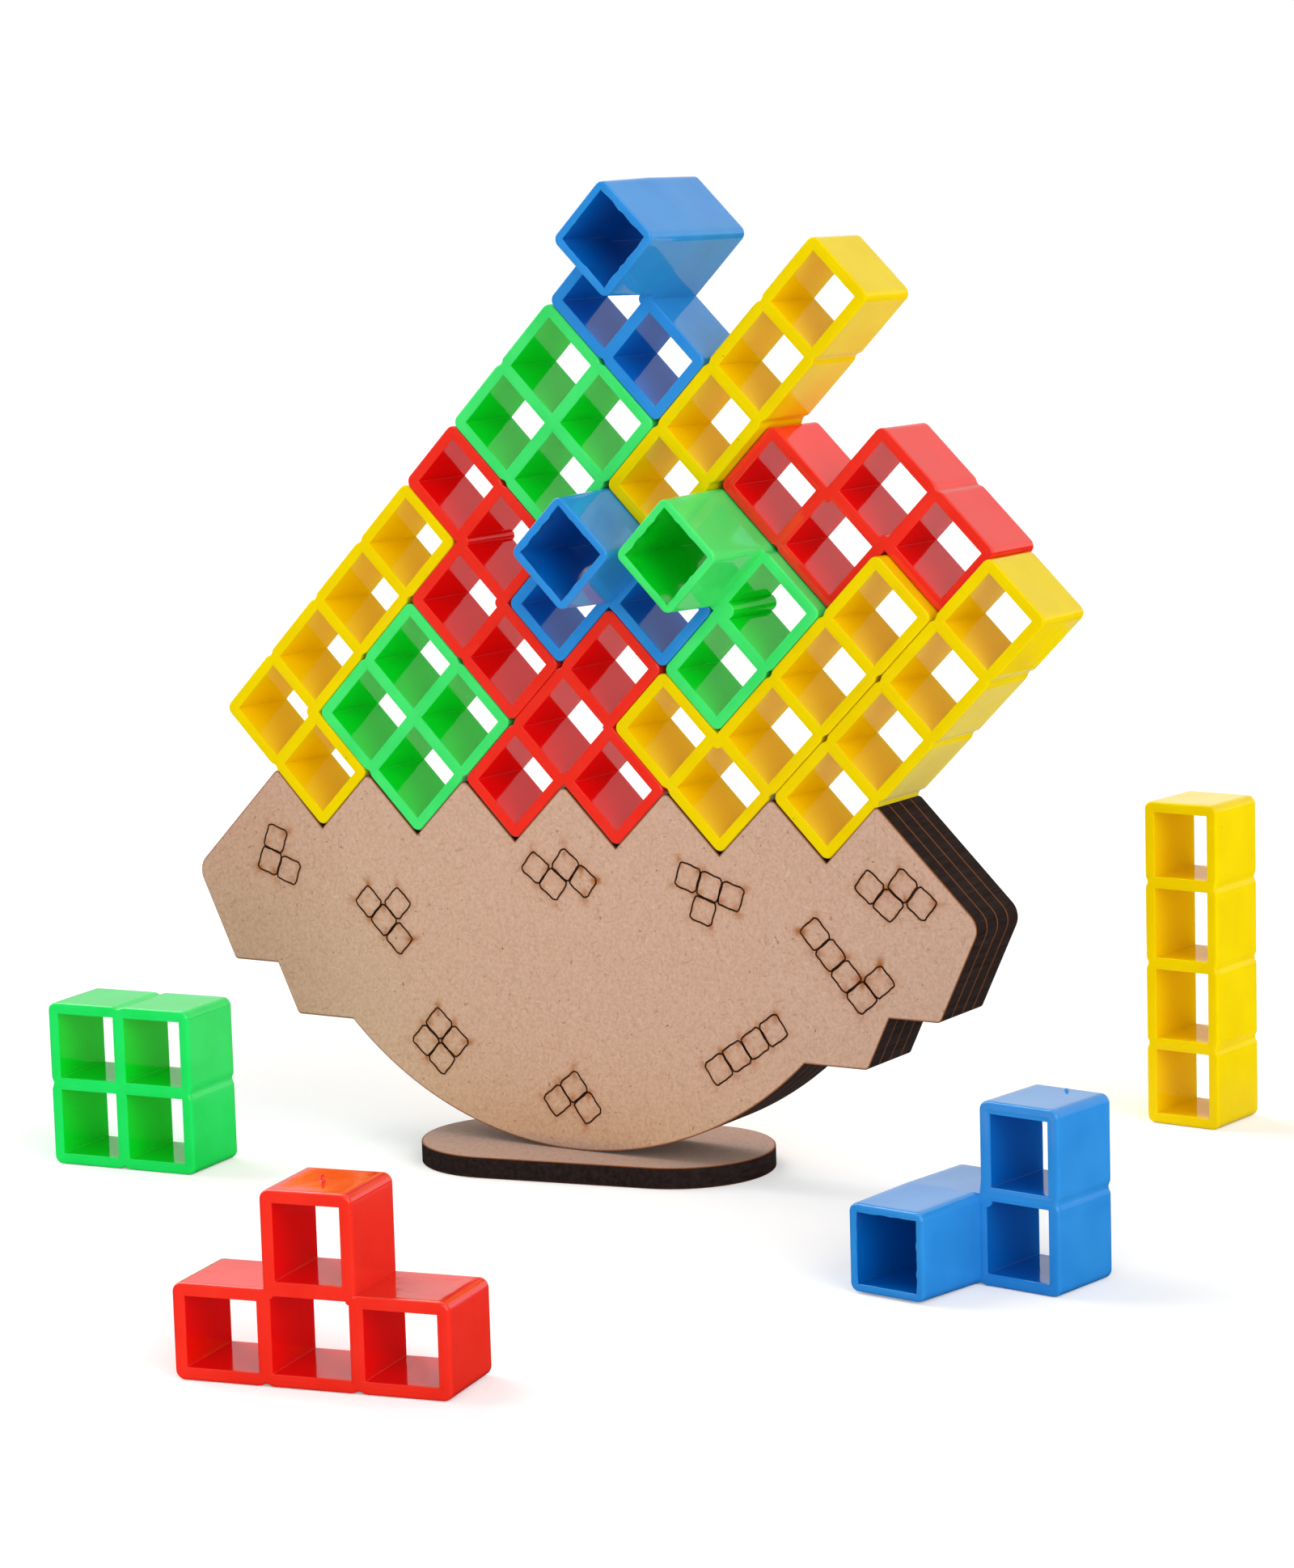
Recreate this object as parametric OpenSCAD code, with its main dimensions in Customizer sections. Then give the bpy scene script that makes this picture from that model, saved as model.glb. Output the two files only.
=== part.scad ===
// Stacking balance game: hollow plastic blocks of several square cells are
// stacked in the notches of a rocker. The rocker is four sheets of fibreboard
// glued face to face, and it balances on its round underside on a foot plate.
// X runs along the rocker, Y from front to back, Z up. The origin is the
// middle of the foot plate's underside, on the table.

/* [Block cells] */
// Pitch of the square cells that make up a block
cell_w = 15; // [12:0.5:20]
// Depth of a block from its front face to its back face
block_d = 15; // [12:0.5:20]
// Outer wall of a cell
wall_t = 2; // [1.2:0.1:2.8]
// Wall that two cells of one block share
rib_t = 2.2; // [1.2:0.1:3]
// Rounding of a block's outer corners
corner_r = 1.5; // [0.5:0.1:2]
// Width of the shallow groove that marks the joint of two cells
groove_w = 2.3; // [1:0.1:3]
// Depth of that groove
groove_d = 0.4; // [0.2:0.05:0.8]
// Radius of the bead in a cell's corner where a block bends
bead_r = 1.1; // [0.6:0.1:1.6]
// Radius of the smaller beads at the bends of the two red tees
tee_bead_r = 0.5; // [0.3:0.1:1.6]
// Radius of the peg at the bend of the stacked green screw
peg_r = 1.5; // [1.1:0.1:2]
// How far the middle of that peg stands out from the cell's corner
peg_out = 0.9; // [0:0.1:1.2]
// Play left between two stacked blocks
block_gap = 0.1; // [0.05:0.05:0.4]

/* [Long tube cells] */
// How far a long tube cell stands out in front of its block
tube_l = 15; // [8:0.5:20]
// Outer width of a long tube cell at its mouth
tube_mouth_w = 14.3; // [11:0.1:14.8]
// Wall of a long tube cell at its mouth
tube_wall_t = 1.3; // [0.9:0.1:1.8]

/* [Rocker] */
// Thickness of one sheet of fibreboard
sheet_t = 3.8; // [3:0.1:5]
// Play between a block and the notch that it sits in
notch_gap = 0.1; // [0.05:0.05:0.5]
// Rounding of the peaks between the notches
peak_r = 1.2; // [0.4:0.1:2]
// How far the outer slopes are set in from a full peak
slope_cut = 0.7; // [0:0.1:2]
// Depth of the widest point below the notch bottoms
shoulder_drop = 9; // [5:0.5:14]
// Rounding of the widest point
shoulder_r = 3.5; // [1:0.5:6]
// Lean of the lower sides from upright, in degrees
side_lean = 25; // [10:1:32]
// Height of the upper tier, from the widest point to its ledge
upper_tier_h = 17; // [10:0.5:24]
// Width of the ledge under the upper tier
ledge_w = 9.8; // [4:0.2:14]
// Height of the lower tier
lower_tier_h = 9.3; // [6:0.1:14]
// Rounding of the tiers' lower corners
tier_r = 1; // [0.3:0.1:2.5]
// Radius of the round underside that the rocker balances on
bowl_r = 67.5; // [58:0.5:75]
// Height of the round underside below the lower tier
bowl_h = 19.8; // [12:0.2:24]

/* [Foot plate] */
// Length of the foot plate, along the rocker
foot_l = 66; // [45:1:100]
// Width of the foot plate, across the rocker
foot_w = 34; // [24:1:44]
// Turn of the foot plate under the rocker, in degrees
foot_turn = 11; // [-20:1:20]
// Play between the round underside and the foot plate
seat_gap = 0.05; // [0.05:0.05:0.3]

/* [Stack] */
// How far the right-hand red zigzag has slipped back in the stack
slip_back = 3; // [0:0.5:5]

/* [Loose blocks] */
// Place of the loose green square's front left corner
square_spot = [-90, -43.5]; // [-180:0.5:180]
// Turn of the loose green square, in degrees
square_turn = 6; // [-10:0.5:10]
// Place of the loose red tee's front left corner
tee_spot = [18, -144.5]; // [-180:0.5:180]
// Turn of the loose red tee, in degrees
tee_turn = 11; // [-15:0.5:15]
// Place of the loose blue screw's front left corner
screw_spot = [86, -43]; // [-180:0.5:180]
// Turn of the loose blue screw, in degrees
screw_turn = -7.5; // [-20:0.5:10]
// Place of the loose yellow bar's front left corner
bar_spot = [75.5, 70]; // [-180:0.5:180]
// Turn of the loose yellow bar, in degrees
bar_turn = -5; // [-20:0.5:10]

/* [Hidden] */
$fn = 96;
BOWL_FN = 360;
TAPER_FN = 32;
ARC_STEPS = 8;

YELLOW = "#F0D000";
GREEN = "#3FDD62";
RED = "#E82416";
BLUE = "#2F88D8";
BOARD = "#C9A68A";

// Cells of the stacked blocks, as steps up to the right and up to the left
// from the leftmost notch. Cell [n, -n] stands in notch n.
YELLOW_ELL_LEFT = [[0, 0], [0, 1], [1, 1], [2, 1], [3, 1]];
GREEN_SQUARE_LOWER = [[1, -1], [2, -1], [1, 0], [2, 0]];
RED_TEE_MIDDLE = [[2, -2], [3, -2], [4, -2], [3, -3]];
YELLOW_ELL_RIGHT = [[4, -4], [5, -4], [6, -4], [7, -4], [4, -3]];
YELLOW_BAR_LOWER = [[5, -5], [6, -5], [7, -5], [8, -5]];
RED_ZIGZAG_LEFT = [[4, 1], [4, 0], [3, 0], [3, -1]];
BLUE_TRIPOD = [[5, -1], [4, -1], [5, -2]];
GREEN_SCREW = [[6, -3], [5, -3], [6, -2]];
GREEN_SQUARE_UPPER = [[5, 0], [6, 0], [5, 1], [6, 1]];
YELLOW_BAR_UPPER = [[6, -1], [7, -1], [8, -1], [9, -1]];
RED_ZIGZAG_RIGHT = [[7, -2], [7, -3], [8, -3], [8, -4]];
BLUE_SCREW_TOP = [[7, 1], [7, 0], [8, 1]];

// Cells of the loose blocks, as steps to the right and up
LOOSE_SQUARE = [[0, 0], [1, 0], [0, 1], [1, 1]];
LOOSE_TEE = [[0, 0], [1, 0], [2, 0], [1, 1]];
LOOSE_SCREW = [[1, 0], [1, 1], [0, 0]];
LOOSE_BAR = [[0, 0], [0, 1], [0, 2], [0, 3]];

NOTCHES = 6;
SHEETS = 4;
DIAGONAL = cell_w * sqrt(2);

rocker_d = SHEETS * sheet_t;
row_half = (NOTCHES - 1) / 2 * DIAGONAL;
notch_drop = (notch_gap - block_gap / 2) * sqrt(2);
peak_z = DIAGONAL / 2 - notch_drop;

// The outer slope is the line x + z = slope_sum
slope_sum = row_half + DIAGONAL - slope_cut * sqrt(2);
outer_z = (slope_sum - row_half - notch_drop) / 2;
outer_x = slope_sum - outer_z;
lean_run = tan(side_lean);
shoulder_x = slope_sum + shoulder_drop;
upper_z = -shoulder_drop - upper_tier_h;
upper_x = shoulder_x - upper_tier_h * lean_run;
lower_z = upper_z - lower_tier_h;
lower_top_x = upper_x - ledge_w;
lower_x = lower_top_x - lower_tier_h * lean_run;
bowl_z = lower_z - bowl_h;
bowl_half = sqrt(bowl_h * (2 * bowl_r - bowl_h));
ledge_x = (bowl_half + lower_x - tier_r) / 2;

foot_t = sheet_t;
notch_z = foot_t + seat_gap - bowl_z;

// Whether a block has a cell at a step of the grid
function has(cells, step) = len([for (c = cells) if (c == step) c]) > 0;

// How far a cell's outline is set in at its left, lower, right or upper side
function side_gap(cells, c, side) = has(cells, c + side) ? 0 : block_gap / 2;

// How far a cell's hole is set in at one side
function hole_inset(cells, c, side) =
    has(cells, c + side) ? rib_t / 2 : block_gap / 2 + wall_t;

// What rounds off the corner p between two edges that leave it along the
// unit vectors u and v
module corner_waste(p, u, v, r) {
    half_sin = sqrt((1 - u * v) / 2);
    half_cos = sqrt((1 + u * v) / 2);
    reach = r * half_cos / half_sin;
    middle = p + (u + v) / norm(u + v) * r / half_sin;
    difference() {
        polygon([p + (p - middle) / 2, p + u * reach, middle, p + v * reach]);
        translate(middle) circle(r);
    }
}

// The square of one cell, set in by the given amounts on its four sides
module cell_square(c, left, lower, right, upper) {
    translate([c[0] * cell_w + left, c[1] * cell_w + lower])
        square([cell_w - left - right, cell_w - lower - upper]);
}

// Outer shape of a block before its corners are rounded
module block_blank(cells) {
    for (c = cells) {
        cell_square(
            c,
            side_gap(cells, c, [-1, 0]),
            side_gap(cells, c, [0, -1]),
            side_gap(cells, c, [1, 0]),
            side_gap(cells, c, [0, 1])
        );
    }
}

// Rounding of every outer corner: where a cell has no neighbour on the two
// sides that meet there
module block_corners(cells) {
    for (c = cells, sx = [-1, 1], sy = [-1, 1]) {
        if (!has(cells, c + [sx, 0]) && !has(cells, c + [0, sy])) {
            middle = (c + [0.5, 0.5]) * cell_w;
            half = cell_w / 2 - block_gap / 2;
            corner_waste(middle + [sx, sy] * half, [-sx, 0], [0, -sy], corner_r);
        }
    }
}

// One joint groove, as a diamond that lies half outside the block
module groove_diamond() {
    polygon([
        [-groove_w / 2, 0],
        [0, groove_d],
        [groove_w / 2, 0],
        [0, -groove_d]
    ]);
}

// Grooves on the outside where two cells of a block meet in a straight face
module block_grooves(cells) {
    for (c = cells, s = [-1, 1]) {
        middle = (c + [0.5, 0.5]) * cell_w;
        face = s * (cell_w / 2 - block_gap / 2);
        if (has(cells, c + [1, 0]) && !has(cells, c + [0, s])
                && !has(cells, c + [1, s])) {
            translate(middle + [cell_w / 2, face]) groove_diamond();
        }
        if (has(cells, c + [0, 1]) && !has(cells, c + [s, 0])
                && !has(cells, c + [s, 1])) {
            translate(middle + [face, cell_w / 2]) rotate(90) groove_diamond();
        }
    }
}

// The square hole through every cell, with a bead in the corner where the
// block bends round it. Bead is its radius and how far its middle stands out.
module block_holes(cells, bead) {
    for (c = cells) {
        left = hole_inset(cells, c, [-1, 0]);
        lower = hole_inset(cells, c, [0, -1]);
        right = hole_inset(cells, c, [1, 0]);
        upper = hole_inset(cells, c, [0, 1]);
        difference() {
            cell_square(c, left, lower, right, upper);
            for (sx = [-1, 1], sy = [-1, 1]) {
                if (has(cells, c + [sx, 0]) && has(cells, c + [0, sy])
                        && !has(cells, c + [sx, sy])) {
                    x = sx < 0 ? left : cell_w - right;
                    y = sy < 0 ? lower : cell_w - upper;
                    translate(c * cell_w + [x, y] - [sx, sy] * bead[1] / sqrt(2))
                        circle(bead[0]);
                }
            }
        }
    }
}

// Section of a block across its tubes
module block_section(cells, bead) {
    difference() {
        block_blank(cells);
        block_corners(cells);
        block_grooves(cells);
        block_holes(cells, bead);
    }
}

// A long tube cell in front of the block: a square tube that narrows a
// little towards its mouth
module long_tube(c) {
    root_w = cell_w - block_gap;
    hole_w = tube_mouth_w - 2 * tube_wall_t;
    translate((c + [0.5, 0.5]) * cell_w) difference() {
        linear_extrude(tube_l, scale = tube_mouth_w / root_w)
            difference() {
                square(root_w, center = true);
                for (sx = [-1, 1], sy = [-1, 1]) {
                    corner_waste(
                        [sx, sy] * root_w / 2,
                        [-sx, 0],
                        [0, -sy],
                        corner_r,
                        $fn = TAPER_FN
                    );
                }
            }
        translate([0, 0, -tube_l / 2]) linear_extrude(2 * tube_l)
            square(hole_w, center = true);
    }
}

// A block whose grid stands upright, with its front face towards -Y. The
// cells in long stand out in front.
module block(cells, long = [], bead = [bead_r, 0]) {
    translate([0, block_d / 2, 0]) rotate([90, 0, 0]) {
        linear_extrude(block_d) block_section(cells, bead);
        for (c = long) {
            translate([0, 0, block_d]) long_tube(c);
        }
    }
}

// A block in the stack: its grid is turned by 45 degrees and starts at the
// leftmost notch
module stacked(cells, long = [], slip = 0, bead = [bead_r, 0]) {
    translate([-row_half, slip, notch_z]) rotate([0, -45, 0])
        block(cells, long, bead);
}

// A block that stands by itself on the table
module loose(cells, spot, turn, long = [], bead = [bead_r, 0]) {
    translate([spot[0], spot[1], -block_gap / 2])
        rotate(turn) translate([0, block_d / 2, 0]) block(cells, long, bead);
}

// Points of the rounding at corner p between its neighbours a and b, or the
// corner itself where the radius is nothing
function corner_arc(a, p, b, r) =
    r == 0 ? [p] :
    let (
        u = (a - p) / norm(a - p),
        v = (b - p) / norm(b - p),
        half = acos(u * v) / 2,
        middle = p + (u + v) / norm(u + v) * r / sin(half),
        first = p + u * r / tan(half) - middle,
        last = p + v * r / tan(half) - middle,
        start = atan2(first[1], first[0]),
        sweep = (atan2(last[1], last[0]) - start + 540) % 360 - 180
    )
    [for (n = [0:ARC_STEPS])
        let (angle = start + sweep * n / ARC_STEPS)
        middle + r * [cos(angle), sin(angle)]];

// Closed outline through corners given as [x, z, radius], each rounded
function rounded_path(corners) =
    let (
        count = len(corners),
        at = [for (c = corners) [c[0], c[1]]]
    )
    [for (
        n = [0:count - 1],
        point = corner_arc(
            at[(n + count - 1) % count],
            at[n],
            at[(n + 1) % count],
            corners[n][2]
        )
    ) point];

function reversed(list) = [for (n = [len(list) - 1:-1:0]) list[n]];

// Corners of the right side (s = 1) or the left side (s = -1), from the
// outer peak down past the two tiers to below the bowl
function side_corners(s) = [
    [s * outer_x, outer_z, peak_r],
    [s * shoulder_x, -shoulder_drop, shoulder_r],
    [s * upper_x, upper_z, tier_r],
    [s * lower_top_x, upper_z, 0],
    [s * lower_x, lower_z, tier_r],
    [s * ledge_x, lower_z, 0],
    [s * ledge_x, bowl_z - bowl_h, 0]
];

// Corners of the notches, from the leftmost to the rightmost, with the
// rounded peaks between them
function notch_corners() = [
    for (n = [0:2 * NOTCHES - 2])
        let (x = n * DIAGONAL / 2 - row_half)
        n % 2 == 0 ? [x, -notch_drop, 0] : [x, peak_z, peak_r]
];

// Everything below the lower tier that lies outside the round underside
module bowl_waste() {
    difference() {
        translate([-shoulder_x, lower_z - 2 * bowl_h])
            square([2 * shoulder_x, 2 * bowl_h]);
        translate([0, bowl_z + bowl_r]) circle(bowl_r, $fn = BOWL_FN);
    }
}

// Outline of one rocker sheet. Z is measured from the notch bottoms.
module rocker_outline() {
    difference() {
        polygon(rounded_path(concat(
            reversed(side_corners(-1)),
            notch_corners(),
            side_corners(1)
        )));
        bowl_waste();
    }
}

// Rocker sheet number n, counted from the front
module rocker_sheet(n) {
    color(BOARD)
        translate([0, (n + 1) * sheet_t - rocker_d / 2, notch_z])
        rotate([90, 0, 0])
        linear_extrude(sheet_t) rocker_outline();
}

module foot_plate() {
    end_x = (foot_l - foot_w) / 2;
    color(BOARD) rotate(foot_turn) linear_extrude(foot_t) {
        square([2 * end_x, foot_w], center = true);
        for (s = [-1, 1]) {
            translate([s * end_x, 0]) circle(foot_w / 2);
        }
    }
}

module rocker_front_sheet() {
    rocker_sheet(0);
}

module rocker_second_sheet() {
    rocker_sheet(1);
}

module rocker_third_sheet() {
    rocker_sheet(2);
}

module rocker_back_sheet() {
    rocker_sheet(3);
}

module yellow_ell_left() {
    color(YELLOW) stacked(YELLOW_ELL_LEFT);
}

module green_square_lower() {
    color(GREEN) stacked(GREEN_SQUARE_LOWER);
}

module red_tee_middle() {
    color(RED) stacked(RED_TEE_MIDDLE, bead = [tee_bead_r, 0]);
}

module yellow_ell_right() {
    color(YELLOW) stacked(YELLOW_ELL_RIGHT);
}

module yellow_bar_lower() {
    color(YELLOW) stacked(YELLOW_BAR_LOWER);
}

module red_zigzag_left() {
    color(RED) stacked(RED_ZIGZAG_LEFT);
}

module blue_tripod() {
    color(BLUE) stacked(BLUE_TRIPOD, long = [BLUE_TRIPOD[0]]);
}

module green_screw() {
    color(GREEN)
        stacked(GREEN_SCREW, long = [GREEN_SCREW[2]], bead = [peg_r, peg_out]);
}

module green_square_upper() {
    color(GREEN) stacked(GREEN_SQUARE_UPPER);
}

module yellow_bar_upper() {
    color(YELLOW) stacked(YELLOW_BAR_UPPER);
}

module red_zigzag_right() {
    color(RED) stacked(RED_ZIGZAG_RIGHT, slip = slip_back);
}

module blue_screw_top() {
    color(BLUE) stacked(BLUE_SCREW_TOP, long = [BLUE_SCREW_TOP[2]]);
}

module loose_green_square() {
    color(GREEN) loose(LOOSE_SQUARE, square_spot, square_turn);
}

module loose_red_tee() {
    color(RED) loose(LOOSE_TEE, tee_spot, tee_turn, bead = [tee_bead_r, 0]);
}

module loose_blue_screw() {
    color(BLUE) loose(LOOSE_SCREW, screw_spot, screw_turn, long = [LOOSE_SCREW[2]]);
}

module loose_yellow_bar() {
    color(YELLOW) loose(LOOSE_BAR, bar_spot, bar_turn);
}

foot_plate();
rocker_front_sheet();
rocker_second_sheet();
rocker_third_sheet();
rocker_back_sheet();
yellow_ell_left();
green_square_lower();
red_tee_middle();
yellow_ell_right();
yellow_bar_lower();
red_zigzag_left();
blue_tripod();
green_screw();
green_square_upper();
yellow_bar_upper();
red_zigzag_right();
blue_screw_top();
loose_green_square();
loose_red_tee();
loose_blue_screw();
loose_yellow_bar();
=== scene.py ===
"""Looks of a stacking balance game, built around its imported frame.

Hollow moulded blocks stand in the notches of a rocker made of four
fibreboard sheets. The rocker balances on a foot plate, and four more blocks
stand loose beside it. Sizes are in millimetres until a mesh is made. X runs
along the rocker, Y from front to back, Z up.
"""
import logging
import math
from dataclasses import dataclass, field
from enum import Enum
from typing import Callable, Sequence

import bmesh
import bpy
import numpy as np
from mathutils import Matrix, Vector


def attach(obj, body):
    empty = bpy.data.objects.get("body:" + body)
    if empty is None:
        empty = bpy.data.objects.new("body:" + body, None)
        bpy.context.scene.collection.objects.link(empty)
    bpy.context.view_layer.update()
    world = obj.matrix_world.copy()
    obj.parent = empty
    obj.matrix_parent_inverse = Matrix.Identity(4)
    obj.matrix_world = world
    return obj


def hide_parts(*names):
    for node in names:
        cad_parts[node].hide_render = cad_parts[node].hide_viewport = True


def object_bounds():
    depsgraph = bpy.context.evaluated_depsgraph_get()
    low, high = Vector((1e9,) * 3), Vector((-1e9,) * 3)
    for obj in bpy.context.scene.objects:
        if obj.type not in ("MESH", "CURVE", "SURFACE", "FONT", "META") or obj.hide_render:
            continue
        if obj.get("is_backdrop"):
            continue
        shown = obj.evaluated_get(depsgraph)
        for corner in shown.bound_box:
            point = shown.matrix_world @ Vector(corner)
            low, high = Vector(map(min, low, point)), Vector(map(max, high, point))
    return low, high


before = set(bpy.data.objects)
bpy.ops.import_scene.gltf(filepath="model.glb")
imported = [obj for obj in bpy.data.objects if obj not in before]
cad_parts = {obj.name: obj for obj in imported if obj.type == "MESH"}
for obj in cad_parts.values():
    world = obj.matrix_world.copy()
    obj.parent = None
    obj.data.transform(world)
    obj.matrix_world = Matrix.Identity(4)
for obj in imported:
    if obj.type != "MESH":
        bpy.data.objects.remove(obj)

LOG = logging.getLogger("stacking_game")
METRES_PER_MM = 0.001
BODY = "root"
WHITE, BLACK = "#FFFFFF", "#000000"

Array = np.ndarray
Cell = tuple[int, int]
Socket = bpy.types.NodeSocket


def linear(hex_colour: str) -> tuple[float, float, float, float]:
    """Turns an sRGB hex colour into Blender's linear colour.

    The curve is straight near black and a power of 2.4 above.

    Args:
        hex_colour: six hex digits after a hash sign.

    Returns:
        Red, green, blue and an alpha of one.
    """
    values = [int(hex_colour[n : n + 2], 16) / 255 for n in (1, 3, 5)]
    flat = [v / 12.92 if v <= 0.04045 else ((v + 0.055) / 1.055) ** 2.4 for v in values]
    return flat[0], flat[1], flat[2], 1.0


def per_mm(feature: float) -> float:
    """Returns the texture scale at which one feature is so many mm wide."""
    return 1 / (feature * METRES_PER_MM)


def smooth(x: Array) -> Array:
    """Returns x held to 0..1 and eased at both ends, as 3x^2 - 2x^3."""
    x = np.clip(x, 0, 1)
    return x * x * (3 - 2 * x)


def circle(angle: Array) -> Array:
    """Returns the points at some angles of a circle with a radius of one."""
    return np.stack([np.cos(angle), np.sin(angle)], axis=-1)


def turned(x: Array, y: Array, degrees: float) -> tuple[Array, Array]:
    """Returns points turned about the origin, from the first axis to the second."""
    cos, sin = math.cos(math.radians(degrees)), math.sin(math.radians(degrees))
    return x * cos - y * sin, x * sin + y * cos


def at_depth(loop: Array, depth: float | Array) -> Array:
    """Returns a loop's points with their depth as the third value."""
    return np.column_stack([loop, np.broadcast_to(depth, len(loop))])


def way_to(azimuth: float, elevation: float) -> Vector:
    """Returns the way to a spot in the sky, 0 degrees in front and 90 at the right."""
    az, el = math.radians(azimuth), math.radians(elevation)
    return Vector((math.sin(az) * math.cos(el), -math.cos(az) * math.cos(el), math.sin(el)))


def new_object(name: str, data: bpy.types.ID) -> bpy.types.Object:
    """Makes an object that is in the scene.

    Args:
        name: the object's name.
        data: its mesh, lamp or camera.

    Returns:
        The object.
    """
    made = bpy.data.objects.new(name, data)
    bpy.context.scene.collection.objects.link(made)
    return made


class Wiring:
    """The node tree of one material or of the world, emptied for new nodes."""

    def __init__(self, owner: bpy.types.Material | bpy.types.World) -> None:
        """Empties the owner's tree.

        Args:
            owner: the material or world that the nodes belong to.
        """
        owner.use_nodes = True
        self.tree = owner.node_tree
        self.tree.nodes.clear()

    def add(self, kind: str, links: dict | None = None, **settings) -> bpy.types.Node:
        """Adds one node with its settings and links.

        Args:
            kind: the node's type name.
            links: socket name or number to a value or another node's socket.
            settings: attributes of the node.

        Returns:
            The new node.
        """
        node = self.tree.nodes.new(kind)
        for name, value in settings.items():
            setattr(node, name, value)
        for key, value in (links or {}).items():
            if isinstance(value, bpy.types.NodeSocket):
                self.tree.links.new(value, node.inputs[key])
            else:
                node.inputs[key].default_value = value
        return node

    def place(self, kind: str = "Object") -> Socket:
        """Returns the point on the piece, or another kind of coordinate."""
        return self.add("ShaderNodeTexCoord").outputs[kind]

    def axes(self, place: Socket) -> bpy.types.bpy_prop_collection:
        """Returns the sockets X, Y and Z of a point."""
        return self.add("ShaderNodeSeparateXYZ", {0: place}).outputs

    def mark(self, name: str) -> Socket:
        """Returns a point attribute of the piece."""
        return self.add("ShaderNodeAttribute", attribute_name=name).outputs["Fac"]

    def mapping(self, place: Socket, kind: str = "POINT", **links: tuple) -> Socket:
        """Returns a point that is moved, turned and scaled."""
        node = self.add("ShaderNodeMapping", {"Vector": place, **links}, vector_type=kind)
        return node.outputs["Vector"]

    def noise(self, place: Socket, width: float, detail: float, **links: float) -> Socket:
        """Returns a cloudy noise with features so many mm wide."""
        links = {"Vector": place, "Scale": per_mm(width), "Detail": detail, **links}
        return self.add("ShaderNodeTexNoise", links).outputs["Fac"]

    def dots(self, place: Socket, apart: float) -> Socket:
        """Returns the distance to scattered points, as a share of their spacing in mm."""
        links = {"Vector": place, "Scale": per_mm(apart)}
        return self.add("ShaderNodeTexVoronoi", links).outputs["Distance"]

    def span(
        self,
        value: Socket,
        start: float = 0.0,
        end: float = 1.0,
        low: float = 0.0,
        high: float | Socket = 1.0,
    ) -> Socket:
        """Maps a value evenly and holds it at both ends.

        Args:
            value: the value.
            start: where the result is low.
            end: where the result is high.
            low: the result at the start.
            high: the result at the end.

        Returns:
            The result.
        """
        links = {"Value": value, "From Min": start, "From Max": end, "To Min": low, "To Max": high}
        return self.add("ShaderNodeMapRange", links).outputs["Result"]

    def math(self, step: str, first: Socket | float, second: Socket | float) -> Socket:
        """Returns the result of one step of arithmetic."""
        return self.add("ShaderNodeMath", {0: first, 1: second}, operation=step).outputs[0]

    def mix(self, share: Socket, first: Socket | float, second: Socket | float) -> Socket:
        """Returns a number between two others, by a share."""
        links = {"Factor": share, "A": first, "B": second}
        return self.add("ShaderNodeMix", links, data_type="FLOAT").outputs[0]

    def blend(
        self, share: Socket | float, under: Socket, over: Socket | str, kind: str = "MIX"
    ) -> Socket:
        """Lays one colour over another.

        Args:
            share: how much of the upper colour shows.
            under: the lower colour.
            over: the upper colour, which may be a hex colour.
            kind: how the two are joined.

        Returns:
            The joined colour.
        """
        links = {"Factor": share, 6: under, 7: linear(over) if isinstance(over, str) else over}
        return self.add("ShaderNodeMix", links, data_type="RGBA", blend_type=kind).outputs[2]

    def ramp(self, value: Socket, *stops: tuple[float, str]) -> Socket:
        """Turns a value into a colour.

        Args:
            value: the value.
            stops: pairs of a value and its hex colour, in rising order.

        Returns:
            The colour, even between the stops.
        """
        node = self.add("ShaderNodeValToRGB", {"Fac": value})
        elements = node.color_ramp.elements
        while len(elements) < len(stops):
            elements.new(1.0)
        for element, (position, colour) in zip(elements, stops):
            element.position, element.color = position, linear(colour)
        return node.outputs["Color"]

    def bump(self, height: Socket, strength: float, distance: float) -> Socket:
        """Returns the surface's way where a height, in metres, tilts it."""
        links = {"Height": height, "Strength": strength, "Distance": distance}
        return self.add("ShaderNodeBump", links).outputs["Normal"]

    def surface(self, links: dict) -> None:
        """Ends a material with its principled shader."""
        shader = self.add("ShaderNodeBsdfPrincipled", links)
        self.add("ShaderNodeOutputMaterial", {"Surface": shader.outputs[0]})


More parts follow.
